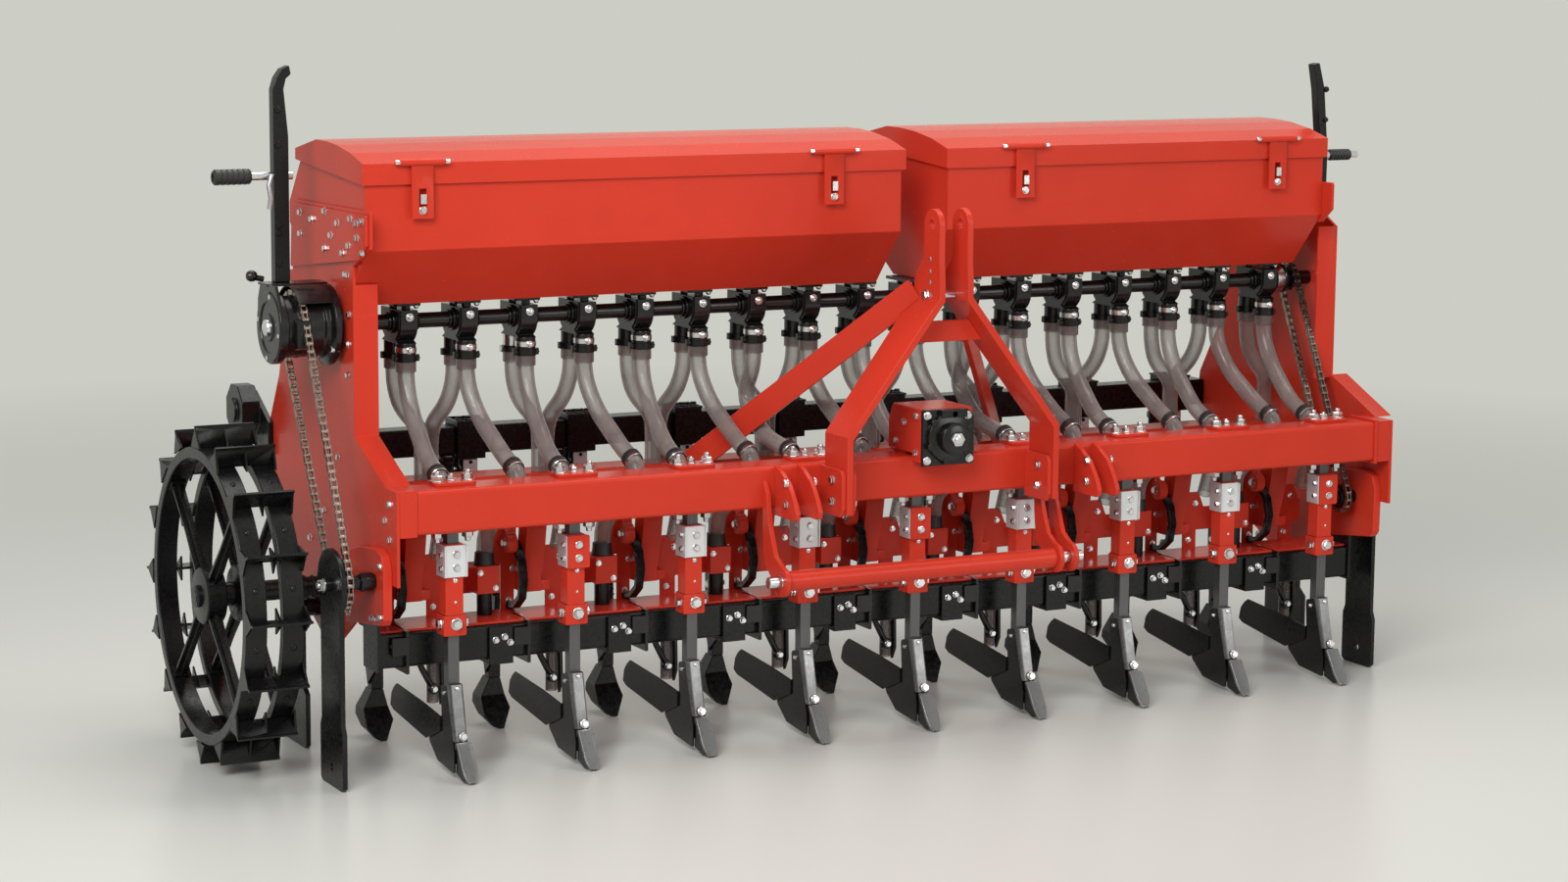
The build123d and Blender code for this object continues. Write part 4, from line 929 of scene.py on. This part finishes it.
# ---- levers, grips
LEVER_Y = middle("depth_levers", "Y")
LEVER_FRONT = ends("depth_levers", "Y")[0]
GRIP_RIBS = 6
grips = Shape()
for low, high, z, r in ((-SIDE - 271, -SIDE - 183, 1349, 18), (SIDE + 84, SIDE + 152, 1325, 15)):
    profile = [(9.8, low), (r - 4, low), (r, low + 4)]
    for k in range(GRIP_RIBS):
        a = lerp(low + 4, high - 6, k / GRIP_RIBS)
        b = lerp(low + 4, high - 6, (k + 1) / GRIP_RIBS)
        profile += [(r, a + 2), (r, b - 3), (r - 2, b - 2), (r - 2, b)]
    profile += [(r, high - 4), (r - 3, high), (9.8, high)]
    grips.spin(profile, "X", LEVER_Y, z, 28, closed=True)
piece("grip_sleeves", grips, RUBBER, stands_for=["handle_grips"])
lever_trim = Shape()
for z in (1220, 1238, 1150, 1420, 1500):
    for x in (-SIDE - 122, SIDE + 60):
        bolt(lever_trim, (x, LEVER_FRONT, z), "-Y", 12, 5)
piece("lever_bolts", lever_trim, BLACK)
trip = Shape()
trip.tube([(-SIDE - 138, 462, 1352), (-SIDE - 146, 458, 1330), (-SIDE - 142, 456, 1300),
           (-SIDE - 146, 455, 1275)], 6, 10)
piece("trip_lever", trip, GREY)

# ---- latches
LATCH_PIN = (234, 1390)        # Y and Z
for side, xs, body in (("left", (-1221, -172), "lid_left"), ("right", (360, 1110), "lid_right")):
    latch = Shape()
    for x in xs:
        for dx in (-58, 58):
            latch.disc("X", x + dx - 8, x + dx + 8, 6, *LATCH_PIN, 14, 1)
        bolt(latch, (x, 232, 1281), "-Y", 14, 5)
        latch.box(x - 7, x + 7, 227, 234, 1296, 1318)
    piece("latch_fittings_" + side, latch, ZINC, body)

# ---- fittings behind the front row
fittings = Shape()
for i, x in enumerate(ROW_XS):
    for dx, z in ((-70, 345), (-40, 345), (40, 345), (-78, 540), (-60, 420), (60, 440)):
        bolt(fittings, (x + dx, 345, z), "-Y", 12, 5)
    bolt(fittings, (x - 104, 285, 495), "-X", 16, 6)
    if i < ROWS - 1:
        mid = GAP_XS[i]
        bolt(fittings, (mid - 20, 272, 430), "-Y", 11, 4)
        bolt(fittings, (mid + 18, 272, 392), "-Y", 11, 4)
        for dx in (-14, 8, 22):
            bolt(bolts, (mid + dx, 196, 300 - abs(dx)), "-Y", 12, 7)
    for dx in (-110, -92):
        bolt(bolts, (x + dx, 205, 292), "-Y", 13, 8)
grommets = Shape()
for i, x in enumerate(ROW_XS):
    local = Shape()
    local.ring("Z", -2, 14, 17, 25, 0, 0, 28, 3)
    grommets.join(local, aim((x - 30, 290, 547), (0, -0.05, 1)))
    if i < ROWS - 1:
        grommets.spin([(20.6, 446), (25, 446), (23, 458), (22, 474), (20.6, 474)], "Z", GAP_XS[i], 300,
                      28, closed=True)
piece("boot_grommets", grommets, RUBBER)

# seed tubes behind the lower bar, each with its trip arm, and straps round the bar
ARM_FOOT = 163                 # height of the eye at an arm's lower end
tubes = Shape()
arms = Shape()
for x in ROW_XS:
    tubes.ring("Z", 128, 322, 11, 14, x + 22, 306, 24, 0.8)
    arms.slab("X", x + 38, x + 46, [(296, 322), (318, 322), (322, 200), (306, 120), (290, 150)])
    arms.box(x + 6, x + 46, 291, 296, 236, 262)
    arms.tube([(x - 80, 300, 250), (x - 66, 299, 243), (x - 48, 298, 246), (x - 34, 298, 252)], 11, 12)
    arms.tube([(x - 36, 298, 253), (x - 20, 297, 240), (x - 8, 296, 212), (x + 6, 294, 184),
               (x + 19, 294, ARM_FOOT)], 7.5, 12)
    arms.disc("Y", 286, 302, 13, x + 19, ARM_FOOT, 20, 2)
    bolt(fittings, (x + 19, 286, ARM_FOOT), "-Y", 13, 5, washer=1.2)
    arms.box(x - 86, x - 78, 192, 297, 226, 326)
    arms.box(x - 120, x - 78, 190, 199, 270, 312)
piece("seed_tubes", tubes, SLEEVE)
piece("trip_arms", arms, DARK, bevel=1)
piece("boot_bolts", fittings, ZINC)

# ---- rear side
GRIP_SHIFT = 58                # a clamp of the rear bar stands this far right of its row
GRIP_TOP = ends("bar_clamps", "Z")[1]
REAR_SHIFT = -30               # and a rear shank this far left of it
KNOB = [(0, 560), (15, 560), (17, 563), (17, 588), (21, 590), (21, 604), (18, 607), (0, 607)]
grip_parts = Shape()
plates = Shape()
for row in ROW_XS:
    x = row + REAR_SHIFT
    for z in (230, 300):
        bolt(bolts, (x + 15, 545, z), "+X", 16, 6)
        bolt(bolts, (x - 23, 535, z), "-X", 16, 6)
    x = row + GRIP_SHIFT
    for dx in (-26, 26):
        for z in (625, 660):
            bolt(bolts, (x + dx, 972, z), "+Y", 15, 6)
    for dx in (-24, 2, 26):
        bolt(grip_parts, (x + dx, 915, GRIP_TOP), "+Z", 15, 7)
    grip_parts.box(x - 40, x + 40, 886, 974, GRIP_TOP - 5, GRIP_TOP)
    grip_parts.spin(KNOB, "Z", x - 60, 905, 20)
    grip_parts.disc("Z", 560, 598, 9, x - 78, 898, 16, 1)
    grip_parts.tube([(x - 60, 905, 566), (x - 30, 908, 560), (x - 10, 910, 560)], 7, 8)
    plates.slab("Y", 899, 904.5, [(x - 18, 558), (x + 20, 558), (x + 20, 592), (x - 18, 592)])
    bolt(grip_parts, (x + 1, 899, 586), "-Y", 9, 3, washer=0)
piece("grip_fittings", grip_parts, DARK, bevel=1)
piece("grip_plates", plates, GALVANISED, bevel=1)
piece("frame_bolts", bolts, ZINC)

# ---- every other CAD node takes its slot's material
for name, node in NODES.items():
    if not node.get("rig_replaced"):
        node.data.materials.clear()
        node.data.materials.append(BY_SLOT[SLOTS[name]])
NODES["metering_shaft"].data.materials[0] = DARK

# ---- floor, world and lamps
PALE = (0.605, 0.615, 0.555, 1)
REACH = 120                    # half the floor's width, in metres
FADE = (2.2, 6.5)              # metres from the middle where the floor starts and ends its fading
floor_mesh = bpy.data.meshes.new("floor")
floor_mesh.from_pydata([(-REACH, -REACH, 0), (REACH, -REACH, 0), (REACH, REACH, 0), (-REACH, REACH, 0)],
                       [], [(0, 1, 2, 3)])
floor = add_object("floor", floor_mesh)
floor_paint = bpy.data.materials.new("pale_floor")
floor_paint.use_nodes = True
tree = floor_paint.node_tree
shader = tree.nodes["Principled BSDF"]
where = add_node(tree, "TexCoord").outputs["Object"]
cloud = noise(tree, where, 0.35, 2)
floor_colour = blend_colours(tree, cloud, (0.66, 0.665, 0.615), (0.72, 0.72, 0.675))
tree.links.new(floor_colour, shader.inputs["Base Color"])
shader.inputs["Roughness"].default_value = 0.3
shader.inputs["Specular IOR Level"].default_value = 0.4


def seen_directly(tree):
    """One for camera, mirror and transmission rays, nought for the light on the machine."""
    path = add_node(tree, "LightPath")
    seen = path.outputs["Is Camera Ray"]
    for ray in ("Is Glossy Ray", "Is Transmission Ray"):
        seen = add_node(tree, "Math", [], [(0, seen), (1, path.outputs[ray])], operation="MAXIMUM")
        seen = seen.outputs[0]
    return seen


# far from the machine the floor fades into the plain backdrop
distance = add_node(tree, "VectorMath", [], [(0, where)], operation="LENGTH").outputs["Value"]
far = add_node(tree, "Math", [], [(0, spread(tree, distance, *FADE, 0, 1)), (1, seen_directly(tree))],
               operation="MULTIPLY").outputs[0]
glow = add_node(tree, "Emission", [("Color", PALE), ("Strength", 1.0)])
faded = add_node(tree, "MixShader", [], [(0, far), (1, shader.outputs[0]), (2, glow.outputs[0])])
tree.links.new(faded.outputs[0], tree.nodes["Material Output"].inputs["Surface"])
floor_mesh.materials.append(floor_paint)

world = bpy.data.worlds.new("studio")
bpy.context.scene.world = world
world.use_nodes = True
tree = world.node_tree
tree.nodes.clear()
pale = add_node(tree, "Background", [("Color", PALE), ("Strength", 1.0)])
soft = add_node(tree, "Background", [("Color", (0.95, 0.97, 1.0, 1)), ("Strength", 0.23)])
mix = add_node(tree, "MixShader", [], [(0, seen_directly(tree)), (1, soft.outputs[0]),
                                       (2, pale.outputs[0])])
add_node(tree, "OutputWorld", [], [(0, mix.outputs[0])])


def softbox(name, where, target, size, power):
    """A rectangular area lamp that points at a target."""
    lamp = bpy.data.lights.new(name, "AREA")
    lamp.shape = "RECTANGLE"
    lamp.size, lamp.size_y = size
    lamp.energy = power
    made = add_object(name, lamp)
    made.location = where
    made.rotation_euler = (Vector(target) - Vector(where)).to_track_quat("-Z", "Y").to_euler()


softbox("key", (-4.4, -4.6, 4.6), (0, 0, 0.7), (3.4, 3.4), 370)
softbox("fill", (3.4, -6.4, 2.6), (0.5, 0, 0.7), (3, 3), 90)
softbox("top", (0.3, 0.3, 4.6), (0, 0, 0.6), (5, 2.4), 130)
